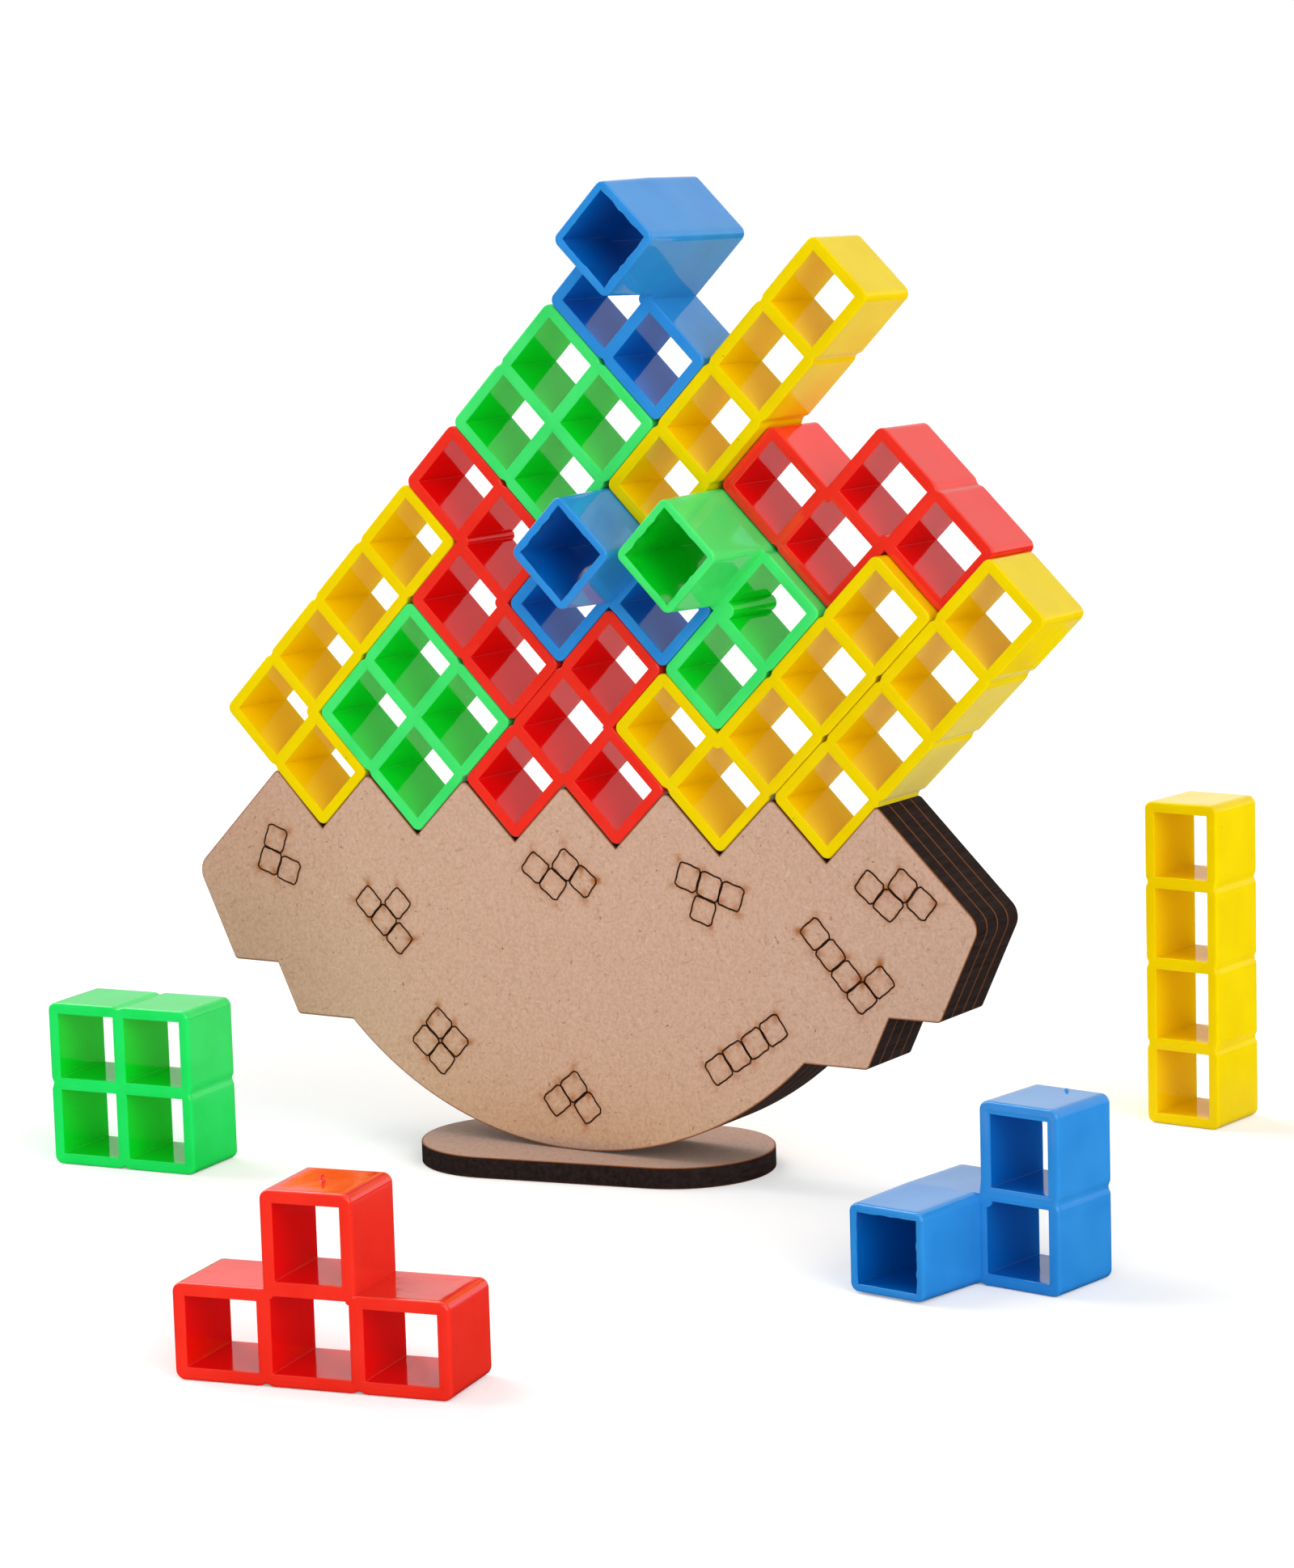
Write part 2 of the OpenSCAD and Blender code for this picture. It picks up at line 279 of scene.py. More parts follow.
class Patchwork:
    """Grids of points that are joined, along shared edges, into one mesh.

    Merge is the size of the box in which points are one point, and offset
    keeps the boxes' walls away from round numbers.
    """

    MERGE = 1e-4
    OFFSET = 0.3719

    def __init__(self) -> None:
        """Starts with no grid."""
        self.points: list[Array] = []
        self.quads: list[Array] = []
        self.marks: dict[str, list[Array]] = {}
        self.count = 0

    def add(self, grid: Array, wrap: bool = False, **marks: Array) -> None:
        """Adds one grid whose neighbouring points make quads.

        Args:
            grid: rows by columns by 3, in millimetres.
            wrap: whether the last column joins the first.
            marks: values for each point, kept as point attributes.
        """
        rows, columns = grid.shape[:2]
        index = self.count + np.arange(rows * columns).reshape(rows, columns)
        if wrap:
            index = np.concatenate([index, index[:, :1]], axis=1)
        corners = [index[:-1, :-1], index[:-1, 1:], index[1:, 1:], index[1:, :-1]]
        self.points.append(grid.reshape(-1, 3))
        self.quads.append(np.stack(corners, axis=-1).reshape(-1, 4))
        for name, values in marks.items():
            whole = np.broadcast_to(values, (rows, columns)).reshape(-1)
            self.marks.setdefault(name, []).append(whole)
        self.count += rows * columns

    def build(self, name: str, crease: float = 40.0) -> bpy.types.Object:
        """Joins the grids and makes the object.

        Points that fall in the same tiny box are one point. A quad that has
        lost one corner that way becomes a triangle, and one that has lost
        two is left out. Edges sharper than the crease angle stay sharp.

        Args:
            name: the object's name.
            crease: angle in degrees above which an edge isn't smoothed.

        Returns:
            The new object, with its place in its mesh.
        """
        points = np.concatenate(self.points)
        boxes = np.floor(points / self.MERGE + self.OFFSET).astype(np.int64)
        _, first, same = np.unique(boxes, axis=0, return_index=True, return_inverse=True)
        quads = same.reshape(-1)[np.concatenate(self.quads)]
        following = np.roll(quads, -1, axis=1)
        repeats = (quads == following).sum(axis=1)
        crossed = (quads[:, 0] == quads[:, 2]) | (quads[:, 1] == quads[:, 3])
        whole = quads[(repeats == 0) & ~crossed]
        worn = (repeats == 1) & ~crossed
        triangles = quads[worn][(quads != following)[worn]].reshape(-1, 3)
        mesh = bpy.data.meshes.new(name)
        places = (points[first] * METRES_PER_MM).tolist()
        mesh.from_pydata(places, [], whole.tolist() + triangles.tolist())
        for mark, values in self.marks.items():
            attribute = mesh.attributes.new(mark, "FLOAT", "POINT")
            joined = np.concatenate(values)[first].astype(np.float32)
            attribute.data.foreach_set("value", joined)
        shape = bmesh.new()
        shape.from_mesh(mesh)
        loose = [v for v in shape.verts if not v.link_faces]
        bmesh.ops.delete(shape, geom=loose, context="VERTS")
        bmesh.ops.recalc_face_normals(shape, faces=shape.faces[:])
        shape.to_mesh(mesh)
        shape.free()
        mesh.shade_smooth()
        mesh.set_sharp_from_angle(angle=math.radians(crease))
        LOG.info("%s: %d faces", name, len(mesh.polygons))
        return new_object(name, mesh)


@dataclass(frozen=True)
class MouldedPolystyrene:
    """Finish of a block: coloured polystyrene from a polished steel mould.

    The eye sees a deep even colour under a hard, wet gloss. The gloss wavers
    a little over each face, because the wall sinks as it cools, and it is
    broken by fine scuffs and by a few specks of dust under the skin. Inside
    a tube the colour is painted deeper, as painted shade for the light that
    has passed from wall to wall and through the walls, and the core's finish
    is duller.
    """

    name: str
    colour: str
    shade: str
    # Colour painted inside a tube as shade between its walls
    inner: str
    shine: float
    slot: str
    core_shine: float = 0.6
    dust: str = "#3A3430"
    cloud_width: float = 9.0
    dust_apart: float = 7.0
    scuff_width: float = 6.0
    scuff_thin: float = 14.0
    scuff_height: float = 0.05
    wave_width: float = 5.0
    polished: float = 0.07
    scuffed: float = 0.2

    def material(self) -> bpy.types.Material:
        """Wires the plastic.

        It reads the point attribute deep, which is 1 inside a tube, where the
        colour is painted deeper as shade.

        Returns:
            The material.
        """
        made = bpy.data.materials.new(self.name)
        wires = Wiring(made)
        place, deep = wires.place(), wires.mark("deep")
        cloud = wires.noise(place, self.cloud_width, 2.0)
        tint = wires.ramp(cloud, (0.3, self.shade), (0.62, self.colour))
        # Painted shade: inside a tube the colour is drawn to the inner colour
        tint = wires.blend(deep, tint, self.inner)
        # Dust specks under the skin, 0.3 mm wide and some 7 mm apart
        grains = wires.dots(place, self.dust_apart)
        tint = wires.blend(wires.span(grains, 0.016, 0.024, 0.55, 0.0), tint, self.dust)
        # Scuffs: long ripples, many times thinner than long
        thin = {"Rotation": (0.4, 0.9, 0.3), "Scale": (1.0, self.scuff_thin, 1.0)}
        scuff = wires.noise(wires.mapping(place, **thin), self.scuff_width, 5.0, Roughness=0.7)
        # Sink of the walls, felt as waves 5 mm long
        wave = wires.noise(place, self.wave_width, 1.0)
        height = wires.math("ADD", wave, wires.math("MULTIPLY", scuff, self.scuff_height))
        wires.surface(
            {
                "Base Color": tint,
                "Roughness": wires.span(scuff, 0.5, 0.72, self.polished, self.scuffed),
                "Normal": wires.bump(height, 0.5, 0.00006),
                "IOR": 1.55,
                "Specular IOR Level": wires.span(
                    deep, low=self.shine, high=self.shine * self.core_shine
                ),
            }
        )
        return made


class Plastic(Enum):
    """The colours that the blocks are moulded in, with two batches of green."""

    # Each: colour, second colour of the clouds, inner colour painted as shade inside a tube,
    # shine, slot
    YELLOW = MouldedPolystyrene(
        "polystyrene_yellow", "#FCDF00", "#F8D600", "#FFD600", 0.15, "yellow_plastic", 0.25
    )
    GREEN = MouldedPolystyrene(
        "polystyrene_green", "#24F06A", "#1CE85E", "#00E42A", 0.42, "green_plastic"
    )
    PALE_GREEN = MouldedPolystyrene(
        "polystyrene_pale_green", "#4CF67A", "#40EC70", "#00E42A", 0.42, "green_plastic"
    )
    RED = MouldedPolystyrene(
        "polystyrene_red", "#FF3424", "#FA2E1E", "#F40202", 0.5, "red_plastic"
    )
    BLUE = MouldedPolystyrene(
        "polystyrene_blue", "#3498E8", "#2C90E2", "#0270CC", 0.5, "blue_plastic"
    )


@dataclass(frozen=True)
class LaserCutFibreboard:
    """Finish of the board: medium fibreboard, sanded faces and burnt edges.

    The eye sees a matt tan face of short fibres and brown flecks, orange
    scorching beside the engraved lines, and cut edges burnt to a dark satin
    with fine upright streaks and a rusty line where each face begins.
    """

    name: str = "fibreboard_laser_cut"
    face: str = "#DBB49C"
    face_dark: str = "#CCA388"
    fleck: str = "#7A5238"
    scorch: str = "#AE6426"
    char: str = "#241B19"
    char_light: str = "#352A29"
    rust: str = "#A8622E"
    slot: str = "board"
    fibre_width: float = 0.6
    hair_width: float = 0.42
    bark_width: float = 0.9
    specks_apart: float = 3.2
    smoke_width: float = 2.0
    streak_width: float = 0.8

    # Ways that the fibres lie, in degrees, with their colour and strength
    HAIRS = (
        ((12.0, 74.0, 139.0), "#A98468", 0.38),
        ((41.0, 103.0, 167.0), "#EBD3BD", 0.28),
    )
    # Painted shade: the foot is greyer, as it is in shade under the rocker, and
    # the left end darker; low down the bowl is yellower. Each: axis, two places
    # in metres, and tints at shares of the way between them
    SHADE_AND_TINTS = (
        ("Z", 0.0, 0.05, ((0.08, "#E3E7F1"), (0.13, "#FFFDED"), (0.3, "#FFFEF8"), (0.55, WHITE))),
        ("X", -0.07, -0.045, ((0.0, "#F4ECEC"), (1.0, WHITE))),
    )

    def hairs(self, wires: Wiring, place: Socket, turns: Sequence[float]) -> Socket:
        """Wires loose fibres that lie several ways, seven times as long as wide.

        Args:
            wires: the material's nodes.
            place: the point on the piece.
            turns: the ways that the fibres lie, in degrees about Y.

        Returns:
            The socket that is 1 on a fibre and 0 beside it.
        """
        found = 0.0
        for turn in turns:
            laid = wires.mapping(
                place,
                "TEXTURE",
                Location=(turn * METRES_PER_MM, 0.0, 0.0),
                Rotation=(0.0, math.radians(turn), 0.0),
                Scale=(1.0, 1.0, 7.0),
            )
            noise = wires.noise(laid, self.hair_width, 1.0, Distortion=0.4)
            found = wires.math("MAXIMUM", found, wires.span(noise, 0.66, 0.74))
        return found

    def material(self) -> bpy.types.Material:
        """Wires the board.

        It reads two point attributes of the piece: scorch, the browning on
        a face, and char, which is 1 on a cut edge and 0 on a face.

        Returns:
            The material.
        """
        made = bpy.data.materials.new(self.name)
        wires = Wiring(made)
        place, char, scorch = wires.place(), wires.mark("char"), wires.mark("scorch")
        # Felted fibres, coarser than real ones so that they show
        fibres = wires.noise(place, self.fibre_width, 5.0, Roughness=0.6)
        tone = wires.ramp(fibres, (0.32, self.face_dark), (0.62, self.face))
        for turns, colour, strength in self.HAIRS:
            share = wires.math("MULTIPLY", self.hairs(wires, place, turns), strength)
            tone = wires.blend(share, tone, colour)
        # Brown flecks of bark, and specks 0.3 mm wide
        bark = wires.noise(place, self.bark_width, 2.0)
        tone = wires.blend(wires.span(bark, 0.7, 0.78, 0.0, 0.75), tone, self.fleck)
        specks = wires.dots(place, self.specks_apart)
        tone = wires.blend(wires.span(specks, 0.03, 0.06, 0.65, 0.0), tone, self.fleck)
        spot = wires.axes(place)
        # Painted shade on the foot and at the left end, and a yellower bowl low down, multiplied
        # in
        for axis, start, end, stops in self.SHADE_AND_TINTS:
            tint = wires.ramp(wires.span(spot[axis], start, end), *stops)
            tone = wires.blend(1.0, tone, tint, "MULTIPLY")
        # Smoke stains, broken into blots 2 mm wide beside the engraved lines
        smoke = wires.noise(place, self.smoke_width, 4.0)
        stain = wires.math("MULTIPLY", scorch, wires.span(smoke, 0.38, 0.56, 0.25, 1.15))
        tone = wires.blend(stain, tone, self.scorch)
        # Streaks that the beam leaves through the thickness
        squeezed = wires.mapping(place, Scale=(1.0, 0.12, 1.0))
        streaks = wires.noise(squeezed, self.streak_width, 4.0, Roughness=0.6)
        burnt = wires.ramp(streaks, (0.35, self.char), (0.75, self.char_light))
        tone = wires.blend(wires.span(char, 0.05, 0.4), tone, burnt)
        rim = wires.ramp(char, (0.05, BLACK), (0.4, WHITE), (0.9, BLACK))
        wires.surface(
            {
                "Base Color": wires.blend(rim, tone, self.rust),
                "Roughness": wires.span(char, low=0.78, high=0.5),
                "Normal": wires.bump(wires.mix(char, fibres, streaks), 0.35, 0.0001),
                "IOR": wires.span(char, low=1.45, high=1.15),
                "Specular IOR Level": wires.span(char, low=0.35, high=0.1),
            }
        )
        return made


@dataclass(frozen=True)
class BurntLine:
    """Finish of an engraved line: board fibres turned to charcoal.

    The eye sees a thin matt brown-black line whose depth of colour changes
    as the beam speeds up and slows down.
    """

    name: str = "engraved_charcoal"
    dark: str = "#261208"
    light: str = "#4A2A17"
    slot: str = "board"
    soot_width: float = 1.6

    def material(self) -> bpy.types.Material:
        """Wires the burnt line.

        Returns:
            The material.
        """
        made = bpy.data.materials.new(self.name)
        wires = Wiring(made)
        soot = wires.noise(wires.place(), self.soot_width, 3.0)
        wires.surface(
            {
                "Base Color": wires.ramp(soot, (0.4, self.dark), (0.7, self.light)),
                "Roughness": 0.9,
                "Normal": wires.bump(soot, 0.4, 0.0001),
                "Specular IOR Level": 0.2,
            }
        )
        return made


def dress(
    piece: bpy.types.Object, finish: bpy.types.Material, node: str | None = None
) -> None:
    """Gives a piece its finish and its body.

    Args:
        piece: the piece.
        finish: its material.
        node: the CAD node that the piece takes the place of, if there is one.
    """
    piece.data.materials.append(finish)
    if node is not None:
        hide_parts(node)
    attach(piece, BODY)


ZONE_STEPS = 5
STRAIGHT_STEPS = 8
ROUND_STEPS = 3
ARC_STEPS = 8
SIDES = np.array([[0, -1], [1, 0], [0, 1], [-1, 0]])
ALONG = np.array([[1, 0], [0, 1], [-1, 0], [0, -1]])
MIRROR = np.array([-1.0, 1.0])
HALF_FILLET = circle(np.linspace(math.pi / 4, math.pi / 2, ZONE_STEPS))
# Points across a rim: share of the way inwards, and 1 past the step down
RIM_POINTS = ((0.0, 0), (0.12, 0), (0.5, 0), (0.58, 0), (0.7, 1), (0.92, 1))
# Points along a wall, a tube and its hole, as shares of the way
WALL_POINTS = (-0.95, -0.66, -0.33, 0.0, 0.33, 0.66, 0.95)
TUBE_POINTS = (0.0, 0.02, 0.25, 0.5, 0.75, 0.94)
TUBE_HOLE_POINTS = (0.3, 0.6, 0.95)
# Points down a board's cut edge: distance from the face in burrs, and char
EDGE_POINTS = ((0.0, 0.3), (1.0, 0.75), (2.2, 1.0))


def straight_out(count: int) -> Array:
    """Returns the outward way of a straight side, once for each point."""
    return np.tile([0.0, 1.0], (count, 1))


def on_side(pairs: Array, side: int) -> Array:
    """Returns pairs, along a side and out from the middle, as points of the cell."""
    return pairs[:, :1] * ALONG[side] + pairs[:, 1:] * SIDES[side]


@dataclass(frozen=True)
class BlockSizes:
    """Sizes that all blocks share, as in the part's source, and their rims.

    Rim_step is the shallow step across a rim. Hole_lead and tube_root are
    how deep a hole's plain wall begins. Sink is how far a wall is drawn in,
    flash the most that the fin at a tube's mouth stands out, and zone the
    part of a side that a corner or a joint takes up.
    """

    pitch: float = 15.0
    depth: float = 15.0
    wall: float = 2.0
    rib: float = 2.2
    corner: float = 1.5
    groove_width: float = 2.3
    groove_depth: float = 0.4
    gap: float = 0.1
    tube_length: float = 15.0
    tube_mouth: float = 14.3
    tube_wall: float = 1.3
    tube_root: float = 0.6
    rim_round: float = 0.3
    hole_round: float = 0.14
    hole_corner: float = 0.06
    hole_lead: float = 0.45
    rim_step: float = 0.05
    sink: float = 0.07
    flash: float = 0.28
    zone: float = 2.2

    @property
    def half(self) -> float:
        """Returns half of a cell."""
        return self.pitch / 2

    @property
    def face(self) -> float:
        """Returns the distance from a cell's middle to its outer face."""
        return self.half - self.gap / 2

    @property
    def reach(self) -> float:
        """Returns half of the straight part of a side."""
        return self.half - self.zone

    @property
    def straight(self) -> Array:
        """Returns the places along the straight part, without its ends."""
        return np.linspace(-self.reach, self.reach, STRAIGHT_STEPS + 1)[1:-1]

    @property
    def rounded_end(self) -> Array:
        """Returns half of an outer corner and the end of the straight part."""
        arc = self.face - self.corner + self.corner * HALF_FILLET
        return np.concatenate([arc, [[self.reach, self.face]]])


@dataclass(frozen=True)
class GateStub:
    """What stays on a block where its runner was torn off.

    Along, up and depth are the foot's middle on the block's grid.
    """

    along: float
    up: float
    depth: float
    tall: float

    def cone(self) -> Array:
        """Makes a narrow cone with a closed foot.

        Each row is a circle. Its radius falls from 0.5 mm at the foot to
        0.2 mm at the torn end, and the first and last circles are points.

        Returns:
            The rows, from below the surface to the torn end.
        """
        angle = np.arange(10) / 10 * 2 * math.pi
        radius = np.array([0.0, 0.5, 0.5, 0.34, 0.24, 0.2, 0.0])[:, None]
        height = np.array([-0.2, -0.2, 0.0, 0.15, 0.6, 1.0, 1.0])[:, None]
        level = self.up + (np.where(height > 0, height * self.tall, height) + 0.0 * angle)
        along = self.along + radius * np.cos(angle)
        return np.stack([along, level, self.depth + radius * np.sin(angle)], axis=-1)


@dataclass
class Outline:
    """Points along one side of a cell, with the way that each is set in.

    Points and their outward ways are pairs: along the side and out from the
    cell's middle.
    """

    points: Array
    ways: Array
    rounding: Array

    def inset(self, amount: float | Array) -> Array:
        """Returns the points moved back along their ways by an amount."""
        return self.points - self.ways * np.broadcast_to(amount, len(self.points))[:, None]


@dataclass
class Block:
    """One moulded block: square tubes side by side, open at both ends."""

    name: str
    plastic: Plastic
    cells: Sequence[Cell]
    place: Callable[[Array], Array]
    long: Cell | None = None
    bead: tuple[float, float] = (1.1, 0.0)
    gate: GateStub | None = None
    sizes: BlockSizes = field(default_factory=BlockSizes)

    def has(self, cell: Array) -> bool:
        """Returns whether the block has a cell there."""
        return tuple(int(v) for v in cell) in self.cells

    def is_long(self, cell: Array) -> bool:
        """Returns whether the cell is the one with the long tube."""
        return tuple(int(v) for v in cell) == self.long

    def vertex(self, cell: Array, first: int, second: int) -> tuple[Array, Array, float]:
        """Finds the outline's point near the corner between two sides.

        Where the cells round a lattice corner leave one place empty, the
        point is the inner corner of the bend. Where two are missing, it is
        the bottom of the joint groove. Where none is, it is the lattice
        corner itself.

        Args:
            cell: the cell.
            first: number of one side.
            second: number of the other side.

        Returns:
            The point from the cell's middle, its outward way, and the
            rounding of the front edge there.
        """
        s = self.sizes
        one, two = SIDES[first], SIDES[second]
        beside = self.has(cell + one), self.has(cell + two)
        across = self.has(cell + one + two)
        corner = (one + two) * s.half
        if beside == (True, True):
            way = np.zeros(2) if across else (one + two).astype(float)
            point = corner - way * s.gap / 2
        else:
            free, shared = (two, one) if beside[0] else (one, two)
            if across:
                way = (free - shared).astype(float)
                point = corner - way * s.gap / 2
            else:
                way = free.astype(float)
                point = corner - way * (s.gap / 2 + s.groove_depth)
        around = [cell, cell + one, cell + two, cell + one + two]
        return point, way, 0.0 if any(self.is_long(c) for c in around) else s.rim_round

    def side_zone(self, cell: Array, side: int, turn: int) -> Outline:
        """Makes the outline from a corner of a side to the straight part.

        At an outer corner it is a quarter of the rounding, at a joint it is
        half a groove whose depth falls as a cosine, and at a bend it is
        straight.

        Args:
            cell: the cell.
            side: number of the side, which is free.
            turn: -1 for the side's first corner, 1 for its last.

        Returns:
            The outline, from the corner inwards, along the side and out.
        """
        s = self.sizes
        other = (side + turn) % 4
        along, out = ALONG[side] * turn, SIDES[side]
        ways = straight_out(ZONE_STEPS + 1)
        rounding = np.full(ZONE_STEPS + 1, s.rim_round)
        if not self.has(cell + SIDES[other]):
            points = s.rounded_end
            ways[:ZONE_STEPS] = HALF_FILLET
        else:
            point, way, start = self.vertex(cell, side, other)
            share = np.linspace(0, 1, ZONE_STEPS + 1)
            first = point @ along
            run = first + (s.reach - first) * share
            depth = np.zeros(ZONE_STEPS + 1)
            if not self.has(cell + SIDES[other] + out):
                near = np.clip((s.half - run) / (s.groove_width / 2), 0, 1)
                depth = s.groove_depth * (1 + np.cos(math.pi * near)) / 2
            points = np.stack([run, s.face - depth], axis=1)
            ways[0] = [way @ along, way @ out]
            rounding = start + (s.rim_round - start) * smooth(share)
        if self.is_long(cell):
            rounding = np.zeros(ZONE_STEPS + 1)
        return Outline(points, ways, rounding)

    def free_side(self, cell: Array, side: int) -> Outline:
        """Joins a free side's two zones and its straight part.

        Args:
            cell: the cell.
            side: number of the side.

        Returns:
            The outline from the side's first corner to its last.
        """
        s = self.sizes
        start, end = self.side_zone(cell, side, -1), self.side_zone(cell, side, 1)
        points = np.stack([s.straight, np.full_like(s.straight, s.face)], axis=1)
        inner = np.full(len(points), 0.0 if self.is_long(cell) else s.rim_round)
        return Outline(
            np.concatenate([start.points * MIRROR, points, end.points[::-1]]),
            np.concatenate([start.ways * MIRROR, straight_out(len(points)), end.ways[::-1]]),
            np.concatenate([start.rounding, inner, end.rounding[::-1]]),
        )

    def rim_loop(self, cell: Array, front: bool) -> Array:
        """Makes the rim's outer loop round a cell.

        A free side follows the outline, set in by the edge's rounding. A
        side with a neighbour runs straight along the middle of the rib.

        Args:
            cell: the cell.
            front: whether the loop is on the front face.

        Returns:
            The loop's points from the cell's middle, without its repeat.
        """
        s = self.sizes
        zone = np.linspace(0, s.zone, ZONE_STEPS + 1)
        straight = np.linspace(s.zone, s.pitch - s.zone, STRAIGHT_STEPS + 1)
        share = np.concatenate([zone, straight[1:-1], s.pitch - zone[::-1]]) / s.pitch
        loops = []
        for side in range(4):
            if self.has(cell + SIDES[side]):
                ends = []
                for turn in (-1, 1):
                    point, way, edge = self.vertex(cell, side, (side + turn) % 4)
                    ends.append(point - way * (edge if front else s.rim_round))
                points = ends[0] + (ends[1] - ends[0]) * share[:, None]
            else:
                outline = self.free_side(cell, side)
                points = on_side(outline.inset(outline.rounding if front else s.rim_round), side)
            loops.append(points[:-1])
        return np.concatenate(loops)

    def square_loop(self, insets: Array, beads: Sequence[bool]) -> tuple[Array, Array]:
        """Makes the loop of a square hole.

        Each corner is a small fillet, or half of what shows of the bead that
        stands in it: an arc from the corner's diagonal to the wall.

        Args:
            insets: how far the hole's four sides are set in.
            beads: whether the corner after each side holds a bead.

        Returns:
            The loop's points from the cell's middle, and the way into the
            wall at each.
        """
        s = self.sizes
        loops, all_ways = [], []
        for side in range(4):
            reach = s.half - insets[side]
            pieces, ways = [], []
            for turn, bead in ((-1, beads[side - 1]), (1, beads[side])):
                end = s.half - insets[(side + turn) % 4]
                if bead:
                    radius, out = self.bead[0], self.bead[1] / math.sqrt(2)
                    meeting = -math.pi - math.asin(out / radius)
                    arc = circle(np.linspace(-0.75 * math.pi, meeting, ZONE_STEPS))
                    points = np.array([end, reach]) - out + radius * arc
                    way = -arc
                    way[-1] = [1.0, 1.0]
                else:
                    points = np.array([end, reach]) - s.hole_corner + s.hole_corner * HALF_FILLET
                    way = HALF_FILLET
                points = np.concatenate([points, [[end - s.zone, reach]]])
                pieces.append(points * [turn, 1])
                ways.append(np.concatenate([way, [[0.0, 1.0]]]) * [turn, 1])
            first, last = pieces[0][-1, 0], pieces[1][-1, 0]
            straight = np.linspace(first, last, STRAIGHT_STEPS + 1)[1:-1]
            middle = np.stack([straight, np.full_like(straight, reach)], axis=1)
            pairs = np.concatenate([pieces[0], middle, pieces[1][::-1]])[:-1]
            out = np.concatenate([ways[0], straight_out(len(straight)), ways[1][::-1]])[:-1]
            loops.append(on_side(pairs, side))
            all_ways.append(on_side(out, side))
        return np.concatenate(loops), np.concatenate(all_ways)

    def hole(self, cell: Array) -> tuple[Array, Array]:
        """Makes the loop of a cell's own hole.

        Args:
            cell: the cell.

        Returns:
            The loop's points from the cell's middle, and the way into the
            wall at each.
        """
        s = self.sizes
        insets, beads = [], []
        for side in range(4):
            after = (side + 1) % 4
            shared = self.has(cell + SIDES[side])
            across = self.has(cell + SIDES[side] + SIDES[after])
            insets.append(s.rib / 2 if shared else s.gap / 2 + s.wall)
            beads.append(shared and self.has(cell + SIDES[after]) and not across)
        return self.square_loop(np.array(insets), beads)

    def tube_loop(self, scale: float, back: float, sink: float) -> Array:
        """Makes a loop of the long tube's outside.

        Args:
            scale: the loop's size against the tube's root.
            back: how far the edge's rounding sets the loop in.
            sink: how far the middle of each side is drawn in.

        Returns:
            The loop's points from the cell's middle.
        """
        s = self.sizes
        end, ways = s.rounded_end, np.concatenate([HALF_FILLET, [[0.0, 1.0]]])
        hollow = sink * (1 - (s.straight / s.reach) ** 2)
        flat = np.stack([s.straight, s.face - hollow / scale], axis=1)
        pairs = np.concatenate([end * MIRROR, flat, end[::-1]])[:-1]
        out = np.concatenate([ways * MIRROR, straight_out(len(flat)), ways[::-1]])[:-1]
        return np.concatenate([on_side(pairs * scale - out * back, side) for side in range(4)])

    def rim_rows(self, outer: Array, hole: Array, ways: Array, depth: float, sign: int) -> list:
        """Makes the rows of points across one rim and round its inner edge.

        Across the rim the points go straight from the outer loop to the
        hole, with a shallow step down two thirds of the way. The inner edge
        is a quarter circle.

        Args:
            outer: the rim's outer loop.
            hole: the hole's loop.
            ways: the ways from the hole into the wall.
            depth: where the rim is.
            sign: 1 where the block lies at greater depths, -1 otherwise.

        Returns:
            The rows, from the outer loop to the hole's wall.
        """
        s = self.sizes
        flared = hole + ways * s.hole_round
        rows = []
        for share, step in RIM_POINTS:
            loop = outer + (flared - outer) * share
            rows.append(at_depth(loop, depth + sign * step * s.rim_step))
        for angle in np.linspace(0, math.pi / 2, ROUND_STEPS + 1):
            loop = hole + ways * s.hole_round * (1 - math.sin(angle))
            drop = s.rim_step + s.hole_round * (1 - math.cos(angle))
            rows.append(at_depth(loop, depth + sign * drop))
        rows.append(at_depth(hole, depth + sign * (s.rim_step + s.hole_lead)))
        return rows

    def tube_rows(self, cell: Array) -> list:
        """Makes the rows of the long tube, from its root to its hole.

        The outside is a rounded square that shrinks evenly towards the
        mouth, with each side drawn in a little as a parabola. The mouth's
        inner edge carries a ragged fin of flash.

        Args:
            cell: the cell that the tube stands on.

        Returns:
            The rows, outside first, then over the mouth and back inside.
        """
        s = self.sizes
        front = -s.depth / 2
        mouth = front - s.tube_length
        small = s.tube_mouth / (2 * s.face)
        rows = [at_depth(self.rim_loop(cell, True), front)]
        for share in TUBE_POINTS:
            scale = 1 + (small - 1) * share
            loop = self.tube_loop(scale, 0.0, s.sink * math.sin(math.pi * share))
            rows.append(at_depth(loop, front - s.tube_length * share))
        for angle in np.linspace(math.pi / 2, 0, ROUND_STEPS + 1):
            loop = self.tube_loop(small, s.rim_round * (1 - math.sin(angle)), 0.0)
            rows.append(at_depth(loop, mouth + s.rim_round * (1 - math.cos(angle))))
        inset = s.half - (s.tube_mouth / 2 - s.tube_wall)
        hole, ways = self.square_loop(np.full(4, inset), [False] * 4)
        rng = np.random.default_rng(len(self.name) * 7 + 3)
        fin = ways * (rng.random(len(hole)) ** 3 * s.flash)[:, None]
        # The fin begins past the rim's step and ends before the plain wall
        whole = len(RIM_POINTS)
        inside = self.rim_rows(rows[-1][:, :2], hole, ways, mouth, 1)
        for row in inside[whole:-1]:
            row[:, :2] -= fin
        rows += inside[1:]
        return rows + [at_depth(hole, mouth + s.tube_length * n) for n in TUBE_HOLE_POINTS]

